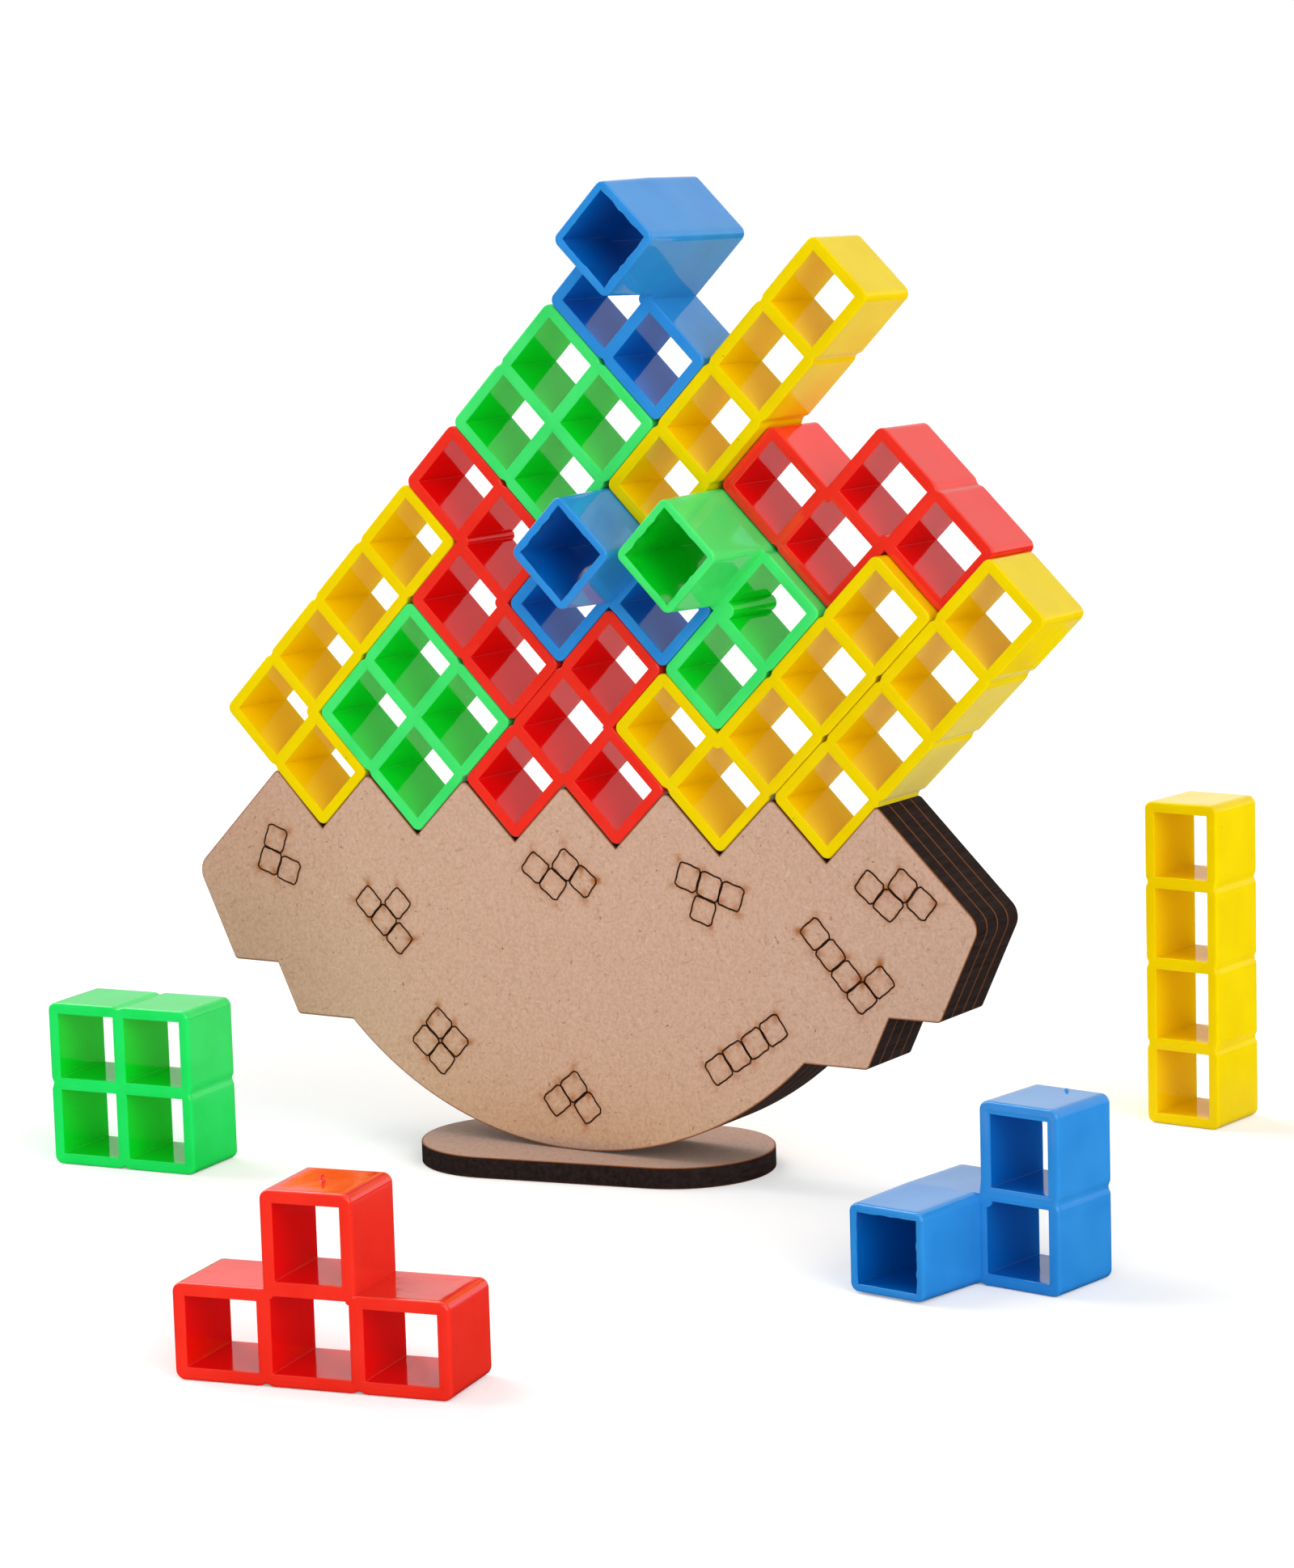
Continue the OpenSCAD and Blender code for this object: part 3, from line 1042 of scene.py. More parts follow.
    def outer_wall(self, cell: Array, side: int) -> Array:
        """Makes the grid of one free side, from the front edge to the back.

        Both edges are quarter circles, and between them the face is drawn
        in by the sink, as a parabola both along and across.

        Args:
            cell: the cell.
            side: number of the side.

        Returns:
            Rows from front to back, as points from the cell's middle.
        """
        s = self.sizes
        outline = self.free_side(cell, side)
        steps = np.linspace(0, math.pi / 2, ROUND_STEPS + 1)
        rows = []
        for angle in steps:
            pairs = outline.inset(outline.rounding * (1 - math.sin(angle)))
            rows.append((pairs, -s.depth / 2 + outline.rounding * (1 - math.cos(angle))))
        across = np.clip(1 - (outline.points[:, 0] / s.reach) ** 2, 0, None)
        for share in WALL_POINTS:
            pairs = outline.points.copy()
            pairs[:, 1] -= s.sink * across * (1 - share**2)
            rows.append((pairs, share * (s.depth / 2 - s.rim_round)))
        for angle in steps[::-1]:
            pairs = outline.inset(s.rim_round * (1 - math.sin(angle)))
            rows.append((pairs, s.depth / 2 - s.rim_round * (1 - math.cos(angle))))
        return np.stack([at_depth(on_side(pairs, side), depth) for pairs, depth in rows])

    def build(self) -> bpy.types.Object:
        """Builds the block's mesh, cell by cell.

        Returns:
            The block.
        """
        s = self.sizes
        patches = Patchwork()
        plain = np.zeros((1, 1))
        for pair in self.cells:
            cell = np.array(pair)
            middle = np.array([*((cell + 0.5) * s.pitch), 0.0])
            hole, ways = self.hole(cell)
            if pair == self.long:
                rows = self.tube_rows(cell)
                first = len(rows) - len(TUBE_HOLE_POINTS) - 1
                rows.append(at_depth(hole, s.tube_root - s.depth / 2))
            else:
                rows = self.rim_rows(self.rim_loop(cell, True), hole, ways, -s.depth / 2, 1)
                first = len(rows) - 1
            rows += [at_depth(hole, share * s.depth / 2) for share in (-0.5, 0.0, 0.5)]
            last = len(rows)
            rows += self.rim_rows(self.rim_loop(cell, False), hole, ways, s.depth / 2, -1)[::-1]
            # Rows inside the tube, where the material paints the colour deeper as shade
            deep = np.zeros((len(rows), 1))
            deep[first : last + 1] = 1
            patches.add(self.place(np.stack(rows) + middle), wrap=True, deep=deep)
            for side in range(4):
                if not self.has(cell + SIDES[side]):
                    patches.add(self.place(self.outer_wall(cell, side) + middle), deep=plain)
        if self.gate is not None:
            patches.add(self.place(self.gate.cone()), wrap=True, deep=plain)
        return patches.build(self.name + "_moulded")


@dataclass(frozen=True)
class Stacked:
    """Place of a block in the stack: its grid stands on a corner."""

    row_half: float
    notch_z: float
    slip: float = 0.0

    def __call__(self, points: Array) -> Array:
        """Turns points by 45 degrees up from the leftmost notch.

        Args:
            points: along the grid, up the grid, and depth.

        Returns:
            The points in the game's frame.
        """
        a, b, depth = points[..., 0], points[..., 1], points[..., 2]
        x = (a - b) / math.sqrt(2) - self.row_half
        z = (a + b) / math.sqrt(2) + self.notch_z
        return np.stack([x, depth + self.slip, z], axis=-1)


@dataclass(frozen=True)
class Standing:
    """Place of a loose block on the table, by its front left corner."""

    spot: tuple[float, float]
    turn: float
    depth: float = 15.0
    gap: float = 0.1

    def __call__(self, points: Array) -> Array:
        """Turns points about the corner and sets them on the table.

        Args:
            points: along the grid, up the grid, and depth.

        Returns:
            The points in the game's frame.
        """
        x, y = turned(points[..., 0], points[..., 2] + self.depth / 2, self.turn)
        z = points[..., 1] - self.gap / 2
        return np.stack([x + self.spot[0], y + self.spot[1], z], axis=-1)


@dataclass(frozen=True)
class Icon:
    """An engraved picture of a block: its first cell, its turn, its cells."""

    x: float
    z: float
    turn: float
    cells: tuple[Cell, ...]

    def centres(self, pitch: float) -> Array:
        """Returns the middles of the icon's cells."""
        x, z = turned(*(np.array(self.cells).T * pitch), self.turn)
        return np.stack([self.x + x, self.z + z], axis=1)


ICONS = (
    Icon(-65.4, 52.0, -19.5, ((0, 0), (0, 1), (1, 0))),
    Icon(-43.2, 45.8, -44.0, ((0, 0), (1, 0), (2, 0), (1, 1))),
    Icon(-6.4, 54.4, -37.0, ((0, 0), (1, 0), (1, 1), (2, 1))),
    Icon(25.3, 54.7, -18.0, ((0, 0), (1, 0), (2, 0), (1, -1))),
    Icon(61.3, 55.3, -39.0, ((0, 0), (1, 0), (1, 1), (2, 1))),
    Icon(50.5, 46.5, -49.5, ((0, 0), (1, 0), (2, 0), (3, 0), (3, 1))),
    Icon(30.6, 21.2, 35.0, ((0, 0), (1, 0), (2, 0), (3, 0))),
    Icon(-28.5, 24.4, -42.0, ((0, 0), (1, 0), (0, -1), (1, -1))),
    Icon(0.3, 15.3, -52.0, ((0, 0), (1, 0), (0, -1))),
)


@dataclass
class Engraving:
    """The pictures of blocks that are engraved on the front sheet.

    Crown is the share of a line's width that its top has. Halo is how far
    the browning beside a line reaches, and halo_share how strong it is. Wisp
    is how far the smoke at a corner reaches, outwards and across, and its
    power evens out the wisps' strengths. Phase is one turn, from which the
    start of each wave is drawn.
    """

    pitch: float = 4.55
    corner: float = 0.75
    line: float = 0.37
    crown: float = 0.85
    aside: float = 0.07
    proud: float = 0.02
    sunk: float = 0.06
    halo: float = 0.45
    halo_share: float = 0.55
    wisp: tuple[float, float] = (1.5, 0.8)
    wisp_power: float = 0.6
    phase: float = 6.3

    # Waves along a line, where the beam shakes: their height and their number
    WAVES = ((0.05, 2), (0.04, 9), (0.02, 23))

    @property
    def core(self) -> float:
        """Returns half of the square on which a cell's corners are rounded."""
        return self.pitch / 2 - self.aside - self.corner

    def scorch(self, x: Array, z: Array) -> Array:
        """Finds how strongly points of the board are browned by the smoke.

        Each cell is a rounded square: the distance to it is that to a
        smaller square, less the corner's radius, and is negative inside.
        The browning fades exponentially on both sides of the line. At each
        corner, where the beam slows down, a wisp of smoke lies outwards: a
        bell curve, longer than wide, of a random strength.

        Args:
            x: the points' X.
            z: the points' Z.

        Returns:
            The browning, from 0 to 1.
        """
        rng = np.random.default_rng(8)
        brown = np.zeros(x.shape)
        core = self.core
        long, wide = self.wisp
        for icon in ICONS:
            for cx, cz in icon.centres(self.pitch):
                u, v = turned(x - cx, z - cz, -icon.turn)
                over = np.maximum(np.abs(u) - core, 0), np.maximum(np.abs(v) - core, 0)
                inner = np.minimum(np.maximum(np.abs(u), np.abs(v)) - core, 0)
                edge = np.hypot(*over) + inner - self.corner
                near = np.exp(-np.abs(edge) / self.halo)
                brown = np.maximum(brown, self.halo_share * near)
                for one, two in ((1, 1), (1, -1), (-1, 1), (-1, -1)):
                    outwards = (one * u + two * v) / math.sqrt(2) - core * math.sqrt(2)
                    across = (one * u - two * v) / math.sqrt(2)
                    reach = ((outwards - self.corner) / long) ** 2 + (across / wide) ** 2
                    strength = rng.random() ** self.wisp_power
                    brown = np.maximum(brown, strength * np.exp(-reach))
        return brown

    def build(self, face_y: float) -> bpy.types.Object:
        """Builds the engraved lines: a low four-sided bar along each square.

        Where two cells meet, both have their line, side by side.

        Args:
            face_y: where the board's front face is.

        Returns:
            The lines as one piece.
        """
        # Each corner has points along its arc, then along the side after it
        arc, side = 9, 7
        corner = np.repeat(np.arange(4), arc + side)
        angles = np.arange(len(corner)) / len(corner) * 2 * math.pi
        swing = np.tile(np.concatenate([np.linspace(0, 1, arc), np.ones(side)]), 4)
        passed = np.concatenate([np.zeros(arc), np.arange(1, side + 1) / (side + 1)])
        passed = np.tile(passed, 4)[:, None]
        corners = self.core * np.array([[1, 1], [-1, 1], [-1, -1], [1, -1]])
        centre = corners[corner] * (1 - passed) + corners[(corner + 1) % 4] * passed
        out = circle((swing + corner) * math.pi / 2)
        patches = Patchwork()
        rng = np.random.default_rng(11)
        half = self.line / 2
        top = half * self.crown
        profile = [(-top, -self.proud), (top, -self.proud), (half, self.sunk), (-half, self.sunk)]
        for icon in ICONS:
            for cx, cz in icon.centres(self.pitch):
                wobble = sum(
                    height * np.sin(number * angles + rng.random() * self.phase)
                    for height, number in self.WAVES
                )
                rows = []
                for aside, drop in profile + profile[:1]:
                    loop = centre + out * (self.corner + aside + wobble)[:, None]
                    x, z = turned(loop[:, 0], loop[:, 1], icon.turn)
                    y = np.full_like(x, face_y + drop)
                    rows.append(np.stack([x + cx, y, z + cz], axis=1))
                patches.add(np.stack(rows), wrap=True)
        return patches.build("engraved_block_pictures", crease=60.0)


@dataclass
class Rocker:
    """The rocker: four sheets of fibreboard with notches and a round base.

    Burr is the width of the bevel at a cut edge, grid the spacing of points
    on the front face, and edge_row how far its first row lies inside.
    """

    sheet: float = 3.8
    sheets: int = 4
    pitch: float = 15.0
    notches: int = 6
    notch_gap: float = 0.1
    block_gap: float = 0.1
    peak: float = 1.2
    slope_cut: float = 0.7
    shoulder_drop: float = 9.0
    shoulder: float = 3.5
    lean: float = 25.0
    upper_tier: float = 17.0
    ledge: float = 9.8
    lower_tier: float = 9.3
    tier: float = 1.0
    bowl: float = 67.5
    bowl_height: float = 19.8
    foot: float = 3.8
    seat: float = 0.05
    burr: float = 0.12
    grid: float = 0.55
    least_step: float = 0.02
    edge_row: float = 0.3
    bowl_steps: int = 120
    engraving: Engraving = field(default_factory=Engraving)

    NAMES = ("front", "second", "third", "back")

    @property
    def diagonal(self) -> float:
        """Returns the distance between two notches."""
        return self.pitch * math.sqrt(2)

    @property
    def row_half(self) -> float:
        """Returns the distance from the middle to the outermost notch."""
        return (self.notches - 1) / 2 * self.diagonal

    @property
    def notch_z(self) -> float:
        """Returns the height of the lattice points in the notches."""
        drop = self.shoulder_drop + self.upper_tier + self.lower_tier
        return self.foot + self.seat + drop + self.bowl_height

    @staticmethod
    def rounded(corners: list[tuple[float, float, float]]) -> Array:
        """Rounds the corners of an open path.

        At each corner the arc's middle lies on the bisector, and the arc
        runs between its two points of contact in eight steps.

        Args:
            corners: X, Z and radius of each corner. The ends aren't rounded.

        Returns:
            The path's points.
        """
        at = np.array([c[:2] for c in corners])
        path = [at[:1]]
        for n in range(1, len(corners) - 1):
            radius = corners[n][2]
            if radius == 0:
                path.append(at[n : n + 1])
                continue
            u = (at[n - 1] - at[n]) / np.linalg.norm(at[n - 1] - at[n])
            v = (at[n + 1] - at[n]) / np.linalg.norm(at[n + 1] - at[n])
            half = math.acos(float(np.clip(u @ v, -1, 1))) / 2
            middle = at[n] + (u + v) / np.linalg.norm(u + v) * radius / math.sin(half)
            first = at[n] + u * radius / math.tan(half) - middle
            last = at[n] + v * radius / math.tan(half) - middle
            start = math.atan2(first[1], first[0])
            sweep = math.atan2(last[1], last[0]) - start
            sweep = (sweep + 3 * math.pi) % (2 * math.pi) - math.pi
            path.append(middle + radius * circle(start + sweep * np.linspace(0, 1, ARC_STEPS + 1)))
        path.append(at[-1:])
        return np.concatenate(path)

    def chains(self) -> tuple[Array, Array]:
        """Works out the outline as an upper and a lower chain.

        Both run from the leftmost point to the rightmost one. The upper one
        goes over the notches, the lower one down the tiers and along the
        bowl, which is an arc of a circle.

        Returns:
            The upper and the lower chain, with Z from the notches.
        """
        gap_drop = (self.notch_gap - self.block_gap / 2) * math.sqrt(2)
        peak_z = self.diagonal / 2 - gap_drop
        slope_sum = self.row_half + self.diagonal - self.slope_cut * math.sqrt(2)
        outer_z = (slope_sum - self.row_half - gap_drop) / 2
        run = math.tan(math.radians(self.lean))
        shoulder_x = slope_sum + self.shoulder_drop
        upper_z = -self.shoulder_drop - self.upper_tier
        upper_x = shoulder_x - self.upper_tier * run
        lower_z = upper_z - self.lower_tier
        lower_top = upper_x - self.ledge
        lower_x = lower_top - self.lower_tier * run
        bowl_half = math.sqrt(self.bowl_height * (2 * self.bowl - self.bowl_height))
        notches = []
        for n in range(2 * self.notches - 1):
            x = n * self.diagonal / 2 - self.row_half
            notches.append((x, -gap_drop, 0.0) if n % 2 == 0 else (x, peak_z, self.peak))
        side = [
            (slope_sum - outer_z, outer_z, self.peak),
            (shoulder_x, -self.shoulder_drop, self.shoulder),
            (upper_x, upper_z, self.tier),
            (lower_top, upper_z, 0.0),
            (lower_x, lower_z, self.tier),
            (bowl_half, lower_z, 0.0),
        ]
        whole = self.rounded([(0.0, 0.0, 0.0)] + side + [(0.0, lower_z, 0.0)])[1:-1]
        turn = int(np.argmax(whole[:, 0]))
        left = whole * MIRROR
        crown = self.rounded([tuple(left[turn // 2]) + (0.0,)] + notches + [(1e3, 0, 0)])
        upper = np.concatenate([left[: turn + 1][::-1], crown[1:-1], whole[: turn + 1]])
        angle = np.linspace(1, -1, self.bowl_steps + 1) * math.asin(bowl_half / self.bowl)
        bowl_z = lower_z - self.bowl_height + self.bowl * (1 - np.cos(angle))
        bowl = np.stack([-self.bowl * np.sin(angle), bowl_z], axis=1)
        return upper, np.concatenate([left[turn:], bowl[1:-1], whole[turn:][::-1]])

    def columns(self) -> tuple[Array, Array]:
        """Samples both chains at the same columns.

        The columns are at every point of either chain and at even steps
        between them, each found by straight interpolation.

        Returns:
            The upper and lower points of each column, at their real height.
        """
        upper, lower = self.chains()
        even = np.arange(-upper[-1, 0], upper[-1, 0], self.grid)
        x = np.unique(np.concatenate([upper[:, 0], lower[:, 0], even]).round(4))
        x = x[np.concatenate([[True], np.diff(x) > self.least_step])]
        top = np.interp(x, upper[:, 0], upper[:, 1]) + self.notch_z
        bottom = np.interp(x, lower[:, 0], lower[:, 1]) + self.notch_z
        return np.stack([x, top], axis=1), np.stack([x, bottom], axis=1)

    def inward(self, chain: Array, sign: int) -> Array:
        """Sets a chain in by the burr, along its normals.

        Args:
            chain: the points of the chain.
            sign: -1 for the upper chain, 1 for the lower one.

        Returns:
            The points of the chain that is set in.
        """
        along = np.gradient(chain, axis=0)
        along /= np.linalg.norm(along, axis=1)[:, None]
        return chain + np.stack([-along[:, 1], along[:, 0]], axis=1) * sign * self.burr

    def face_grid(self, upper: Array, lower: Array, y: float, fine: bool) -> tuple:
        """Makes one face between the chains.

        Each column runs straight from the lower chain to the upper one.

        Args:
            upper: the upper chain, set in.
            lower: the lower chain, set in.
            y: where the face is.
            fine: whether the face has rows as close as its columns.

        Returns:
            The grid, and the scorching and charring at its points.
        """
        height = np.linalg.norm(upper - lower, axis=1)
        near = np.minimum(self.edge_row / np.maximum(height, 1e-6), 0.2)
        count = int(height.max() / self.grid) if fine else 2
        share = near + (1 - 2 * near) * np.linspace(0, 1, count)[:, None]
        share = np.concatenate([np.zeros((1, len(near))), share, np.ones((1, len(near)))])
        flat = lower + (upper - lower) * share[..., None]
        grid = np.stack([flat[..., 0], np.full(flat.shape[:2], y), flat[..., 1]], axis=-1)
        char = np.zeros(grid.shape[:2])
        char[[0, -1]] = EDGE_POINTS[0][1]
        scorch = np.zeros(grid.shape[:2])
        if fine:
            scorch = self.engraving.scorch(grid[..., 0], grid[..., 2])
        return grid, scorch, char

    def sheet_mesh(self, number: int) -> bpy.types.Object:
        """Builds one sheet: two faces and the cut edge between them.

        The cut edge is the outline carried through the thickness, with a
        small bevel at both faces.

        Args:
            number: the sheet, counted from the front.

        Returns:
            The sheet.
        """
        front = (number - self.sheets / 2) * self.sheet
        back = front + self.sheet
        upper, lower = self.columns()
        upper_in, lower_in = self.inward(upper, -1), self.inward(lower, 1)
        for chain in (upper_in, lower_in):
            chain[0, 0] = upper[0, 0] + self.burr
            chain[-1, 0] = upper[-1, 0] - self.burr
        upper_in[[0, -1], 1] = lower_in[[0, -1], 1] = upper[[0, -1], 1]
        patches = Patchwork()
        for y, fine in ((front, number == 0), (back, False)):
            grid, scorch, char = self.face_grid(upper_in, lower_in, y, fine)
            patches.add(grid, scorch=scorch, char=char)
        steps = [(front + self.burr * burrs, char) for burrs, char in EDGE_POINTS]
        steps += [(back - self.burr * burrs, char) for burrs, char in EDGE_POINTS[::-1]]
        for chain, inner in ((upper, upper_in), (lower, lower_in)):
            rows = []
            for y, char in steps:
                points = inner if y in (front, back) else chain
                rows.append(np.insert(points, 1, y, axis=1))
            burnt = np.array([char for _, char in steps])[:, None]
            patches.add(np.stack(rows), scorch=0 * burnt, char=burnt)
        return patches.build(f"rocker_{self.NAMES[number]}_board", crease=30.0)

    def build(self, board: bpy.types.Material, line: bpy.types.Material) -> None:
        """Builds and dresses the four sheets and the engraved lines.

        Args:
            board: the fibreboard.
            line: the burnt line.
        """
        for number, name in enumerate(self.NAMES):
            piece = self.sheet_mesh(number)
            # Keeps the board out of what the loose blocks mirror: plain white
            piece.visible_glossy = False
            dress(piece, board, f"rocker_{name}_sheet")
        dress(self.engraving.build(-self.sheets / 2 * self.sheet), line)


@dataclass
class FootPlate:
    """The foot plate: one sheet with round ends, under the rocker."""

    length: float = 66.0
    width: float = 34.0
    thickness: float = 3.8
    turn: float = 11.0
    burr: float = 0.12
    end_steps: int = 48

    def ring(self, share: float, height: float, back: float) -> Array:
        """Makes a ring of the plate's outline, drawn towards its middle line.

        The outline keeps one distance from a straight line along the middle.

        Args:
            share: 1 on the outline, 0 on the middle line.
            height: Z of the ring.
            back: how far the outline is set in.

        Returns:
            The ring's points.
        """
        angle = np.linspace(-math.pi / 2, math.pi / 2, self.end_steps + 1)
        centre = (self.length - self.width) / 2 * np.repeat([1, -1], len(angle))
        angle = np.concatenate([angle, angle + math.pi])
        radius = (self.width / 2 - back) * share
        x, y = turned(centre + radius * np.cos(angle), radius * np.sin(angle), self.turn)
        return np.stack([x, y, np.full_like(x, height)], axis=1)

    def build(self, board: bpy.types.Material) -> None:
        """Builds and dresses the plate, as rings from its top round to below.

        Args:
            board: the fibreboard.
        """
        top, burr = self.thickness, self.burr
        rings = [(share, top, burr, 0.0) for share in (0.0, 0.4, 0.8, 0.98)]
        for burrs, char in EDGE_POINTS:
            rings.append((1.0, top - burrs * burr, 0.0 if burrs else burr, char))
        for burrs, char in EDGE_POINTS[::-1]:
            rings.append((1.0, burrs * burr, 0.0 if burrs else burr, char))
        rings += [(share, 0.0, burr, 0.0) for share in (0.98, 0.0)]
        patches = Patchwork()
        char = np.array([ring[3] for ring in rings])[:, None]
        rows = np.stack([self.ring(*ring[:3]) for ring in rings])
        patches.add(rows, wrap=True, scorch=0 * char, char=char)
        piece = patches.build("foot_board", crease=30.0)
        dress(piece, board, "foot_plate")


@dataclass(frozen=True)
class Lamp:
    """A distant soft lamp.

    Azimuth is 0 in front and 90 at the right, elevation is above the
    horizon, and soft is how wide the lamp looks. All three are in degrees.
    """

    name: str
    azimuth: float
    elevation: float
    power: float
    soft: float

    def build(self) -> None:
        """Adds the lamp to the scene, turned to the game."""
        data = bpy.data.lights.new(self.name, "SUN")
        data.energy = self.power
        data.angle = math.radians(self.soft)
        way = way_to(self.azimuth, self.elevation)
        new_object(self.name, data).rotation_euler = way.to_track_quat("Z", "Y").to_euler()


@dataclass
class Studio:
    """The white floor, the soft light and the camera."""

    photo_height: int = 1939
    focal_pixels: float = 5149.0
    sensor: float = 36.0
    camera_at: tuple[float, float, float] = (400.0, -613.4, 173.7)
    azimuth: float = 32.23
    elevation: float = 8.21
    roll: float = -1.66
    shift: tuple[float, float] = (-0.0017, 0.0011)
    floor_half: float = 6000.0
    floor_z: float = -0.05
    fill: float = 0.42
    lamps: tuple[Lamp, ...] = (
        Lamp("left_softbox", -100.0, 40.0, 2.3, 55.0),
        Lamp("front_softbox", 20.0, 8.0, 0.62, 50.0),
        Lamp("right_softbox", 68.0, 28.0, 1.2, 50.0),
    )
    dark_side: float = 0.04
    backdrop: float = 1.0
    upper_backdrop: float = 0.8
    second_mirror: float = 0.15
    lift: float = 0.24

    def camera(self) -> None:
        """Sets up the camera at the photo's viewing angle."""
        data = bpy.data.cameras.new("photo_camera")
        data.sensor_width = self.sensor
        data.lens = self.sensor * self.focal_pixels / self.photo_height
        data.shift_x, data.shift_y = self.shift
        data.clip_start, data.clip_end = 0.01, 100.0
        back = way_to(self.azimuth, self.elevation)
        right = (-back).cross(Vector((0, 0, 1))).normalized()
        up = right.cross(-back)
        roll = math.radians(self.roll)
        side = right * math.cos(roll) + up * math.sin(roll)
        top = up * math.cos(roll) - right * math.sin(roll)
        turned = Matrix((side, top, back)).transposed().to_4x4()
        turned.translation = Vector(self.camera_at) * METRES_PER_MM
        made = new_object("photo_camera", data)
        made.matrix_world = turned
        bpy.context.scene.camera = made

    def world(self) -> None:
        """Makes the white surroundings: plain light, and white to the eye.

        Glossy faces see the white backdrop behind the game and the ceiling,
        and the dim room on the camera's side. A reflection within a
        reflection is scattered by the core's finish, and so is dimmer.
        """
        made = bpy.data.worlds.new("white_studio")
        bpy.context.scene.world = made
        wires = Wiring(made)
        path = wires.add("ShaderNodeLightPath").outputs
        way = wires.place("Generated")
        towards = {0: way, 1: (0.0, 0.96, 0.28)}
        behind = wires.add("ShaderNodeVectorMath", towards, operation="DOT_PRODUCT")
        height = wires.axes(way)["Z"]
        level = wires.span(height, 0.25, 0.45, self.backdrop, self.upper_backdrop)
        backdrop = wires.span(behind.outputs["Value"], 0.62, 0.86, high=level)
        ceiling = wires.span(height, 0.6, 0.8, high=self.backdrop)
        bright = wires.math("MAXIMUM", backdrop, ceiling)
        seen = wires.math("MAXIMUM", bright, self.dark_side)
        first = wires.span(path["Glossy Depth"], 1.0, 2.0, 1.0, self.second_mirror)
        room = wires.math("MULTIPLY", seen, first)
        mirrored = wires.math("MAXIMUM", path["Is Glossy Ray"], path["Is Transmission Ray"])
        strength = wires.mix(path["Is Camera Ray"], wires.mix(mirrored, self.fill, room), 1.0)
        links = {"Color": linear(WHITE), "Strength": strength}
        shader = wires.add("ShaderNodeBackground", links)
        wires.add("ShaderNodeOutputWorld", {"Surface": shader.outputs[0]})

    def floor(self) -> None:
        """Makes the floor: white paper that keeps the object's shadow.

        Its matt white is lifted a little for the camera, so that it reads as
        white away from the shadow. Glossy faces see the paper pale behind
        the game and dim elsewhere.
        """
        corners = np.array([[-1, -1], [1, -1], [1, 1], [-1, 1]]) * self.floor_half
        mesh = bpy.data.meshes.new("studio_floor")
        places = at_depth(corners, self.floor_z) * METRES_PER_MM
        mesh.from_pydata(places.tolist(), [], [(0, 1, 2, 3)])
        made = new_object("studio_floor", mesh)
        paper = bpy.data.materials.new("white_paper_sweep")
        wires = Wiring(paper)
        path = wires.add("ShaderNodeLightPath").outputs
        axes = wires.axes(wires.place())
        left = wires.span(axes["X"], 0.08, 0.12, 1.0, 0.0)
        pale = wires.math("MULTIPLY", left, wires.span(axes["Y"], -0.04, 0.06))
        seen = wires.blend(pale, linear("#343434"), "#B8B8B8")
        tone = wires.blend(path["Is Glossy Ray"], linear("#F2F2F2"), seen)
        matt = wires.add("ShaderNodeBsdfDiffuse", {"Color": tone, "Roughness": 0.5})
        lift = wires.math("MULTIPLY", path["Is Camera Ray"], self.lift)
        glow = wires.add("ShaderNodeEmission", {"Color": linear(WHITE), "Strength": lift})
        both = wires.add("ShaderNodeAddShader", {0: matt.outputs[0], 1: glow.outputs[0]})
        wires.add("ShaderNodeOutputMaterial", {"Surface": both.outputs[0]})
        mesh.materials.append(paper)
        made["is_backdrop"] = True

    def build(self) -> None:
        """Sets up camera, lamps, surroundings and floor."""
        self.camera()
        for lamp in self.lamps:
            lamp.build()
        self.world()
        self.floor()
        bpy.context.scene.view_settings.view_transform = "Standard"
        LOG.info("studio ready")


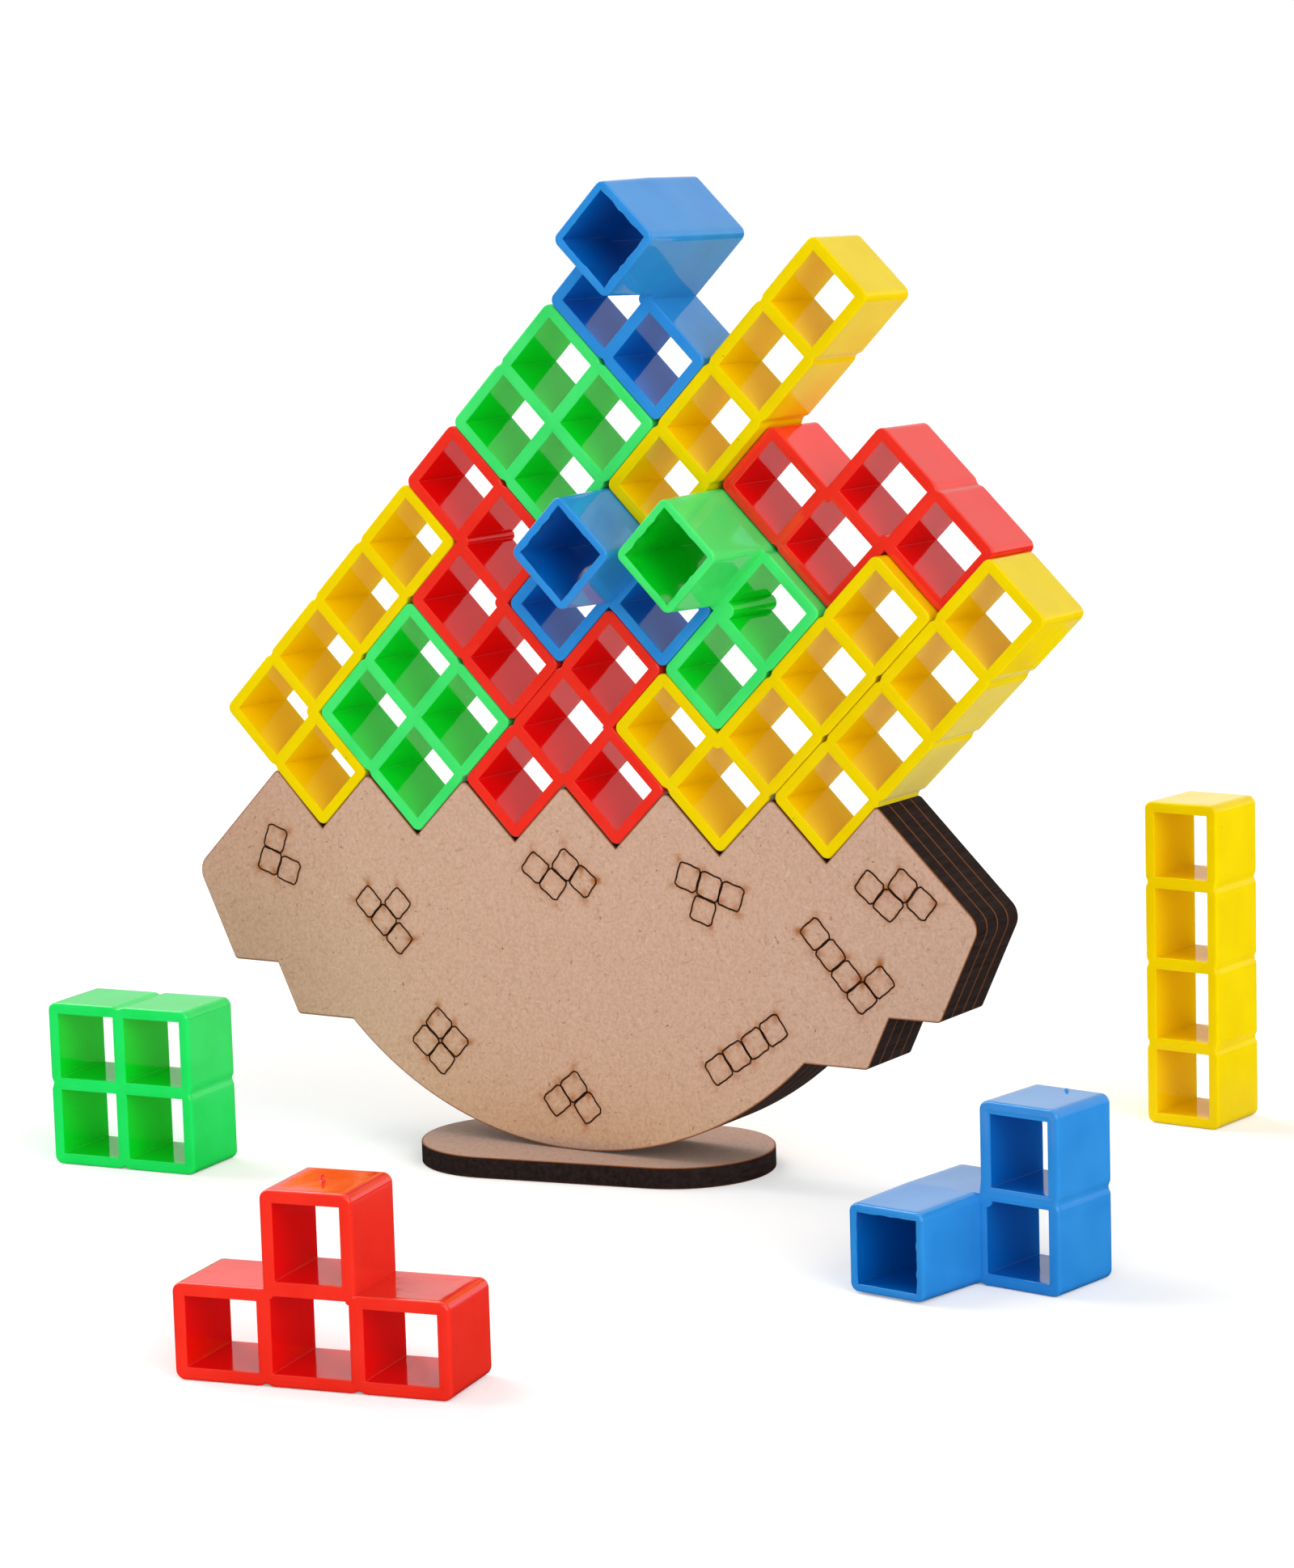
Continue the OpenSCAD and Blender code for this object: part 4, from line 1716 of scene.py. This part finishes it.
def blocks(rocker: Rocker) -> list[Block]:
    """Lists the game's blocks with their cells and places.

    Args:
        rocker: the rocker that the stack stands on.

    Returns:
        The stacked blocks, then the loose ones.
    """
    stack = Stacked(rocker.row_half, rocker.notch_z)
    slipped = Stacked(rocker.row_half, rocker.notch_z, slip=3.0)
    yellow, red, blue = Plastic.YELLOW, Plastic.RED, Plastic.BLUE
    green, pale = Plastic.GREEN, Plastic.PALE_GREEN
    small_bead, large_bead = (0.5, 0.0), (1.5, 0.9)
    worn = BlockSizes(rim_round=0.5)
    return [
        Block("yellow_ell_left", yellow, [(0, 0), (0, 1), (1, 1), (2, 1), (3, 1)], stack),
        Block("green_square_lower", pale, [(1, -1), (2, -1), (1, 0), (2, 0)], stack),
        Block(
            "red_tee_middle", red, [(2, -2), (3, -2), (4, -2), (3, -3)], stack, bead=small_bead
        ),
        Block("yellow_ell_right", yellow, [(4, -4), (5, -4), (6, -4), (7, -4), (4, -3)], stack),
        Block("yellow_bar_lower", yellow, [(5, -5), (6, -5), (7, -5), (8, -5)], stack),
        Block("red_zigzag_left", red, [(4, 1), (4, 0), (3, 0), (3, -1)], stack),
        Block("blue_tripod", blue, [(5, -1), (4, -1), (5, -2)], stack, long=(5, -1)),
        Block(
            "green_screw", pale, [(6, -3), (5, -3), (6, -2)], stack, long=(6, -2), bead=large_bead
        ),
        Block("green_square_upper", pale, [(5, 0), (6, 0), (5, 1), (6, 1)], stack),
        Block("yellow_bar_upper", yellow, [(6, -1), (7, -1), (8, -1), (9, -1)], stack),
        Block("red_zigzag_right", red, [(7, -2), (7, -3), (8, -3), (8, -4)], slipped),
        Block("blue_screw_top", blue, [(7, 1), (7, 0), (8, 1)], stack, long=(8, 1)),
        Block(
            "loose_green_square",
            green,
            [(0, 0), (1, 0), (0, 1), (1, 1)],
            Standing((-90.0, -43.5), 6.0),
            sizes=worn,
        ),
        Block(
            "loose_red_tee",
            red,
            [(0, 0), (1, 0), (2, 0), (1, 1)],
            Standing((18.0, -144.5), 11.0),
            bead=small_bead,
            gate=GateStub(22.0, 29.9, 0.0, 1.0),
            sizes=worn,
        ),
        Block(
            "loose_blue_screw",
            blue,
            [(1, 0), (1, 1), (0, 0)],
            Standing((86.0, -43.0), -7.5),
            long=(0, 0),
            gate=GateStub(23.0, 29.9, 5.5, 0.45),
            sizes=worn,
        ),
        Block(
            "loose_yellow_bar",
            yellow,
            [(0, 0), (0, 1), (0, 2), (0, 3)],
            Standing((75.5, 70.0), -5.0),
            sizes=worn,
        ),
    ]


def plain(box: tuple[Vector, Vector]) -> list[list[float]]:
    """Returns a box's two corners as plain lists."""
    return [list(corner) for corner in box]


def main() -> None:
    """Builds the studio, the rocker, its foot and the blocks, in that order."""
    logging.basicConfig(level=logging.INFO, format="%(message)s")
    cad_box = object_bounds()
    Studio().build()
    board = LaserCutFibreboard().material()
    line = BurntLine().material()
    rocker = Rocker()
    rocker.build(board, line)
    FootPlate().build(board)
    finishes = {plastic: plastic.value.material() for plastic in Plastic}
    for block in blocks(rocker):
        plastic = block.plastic
        dress(block.build(), finishes[plastic], block.name)
    {"cad": plain(cad_box), "shown": plain(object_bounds())}


if __name__ == "__main__":
    main()
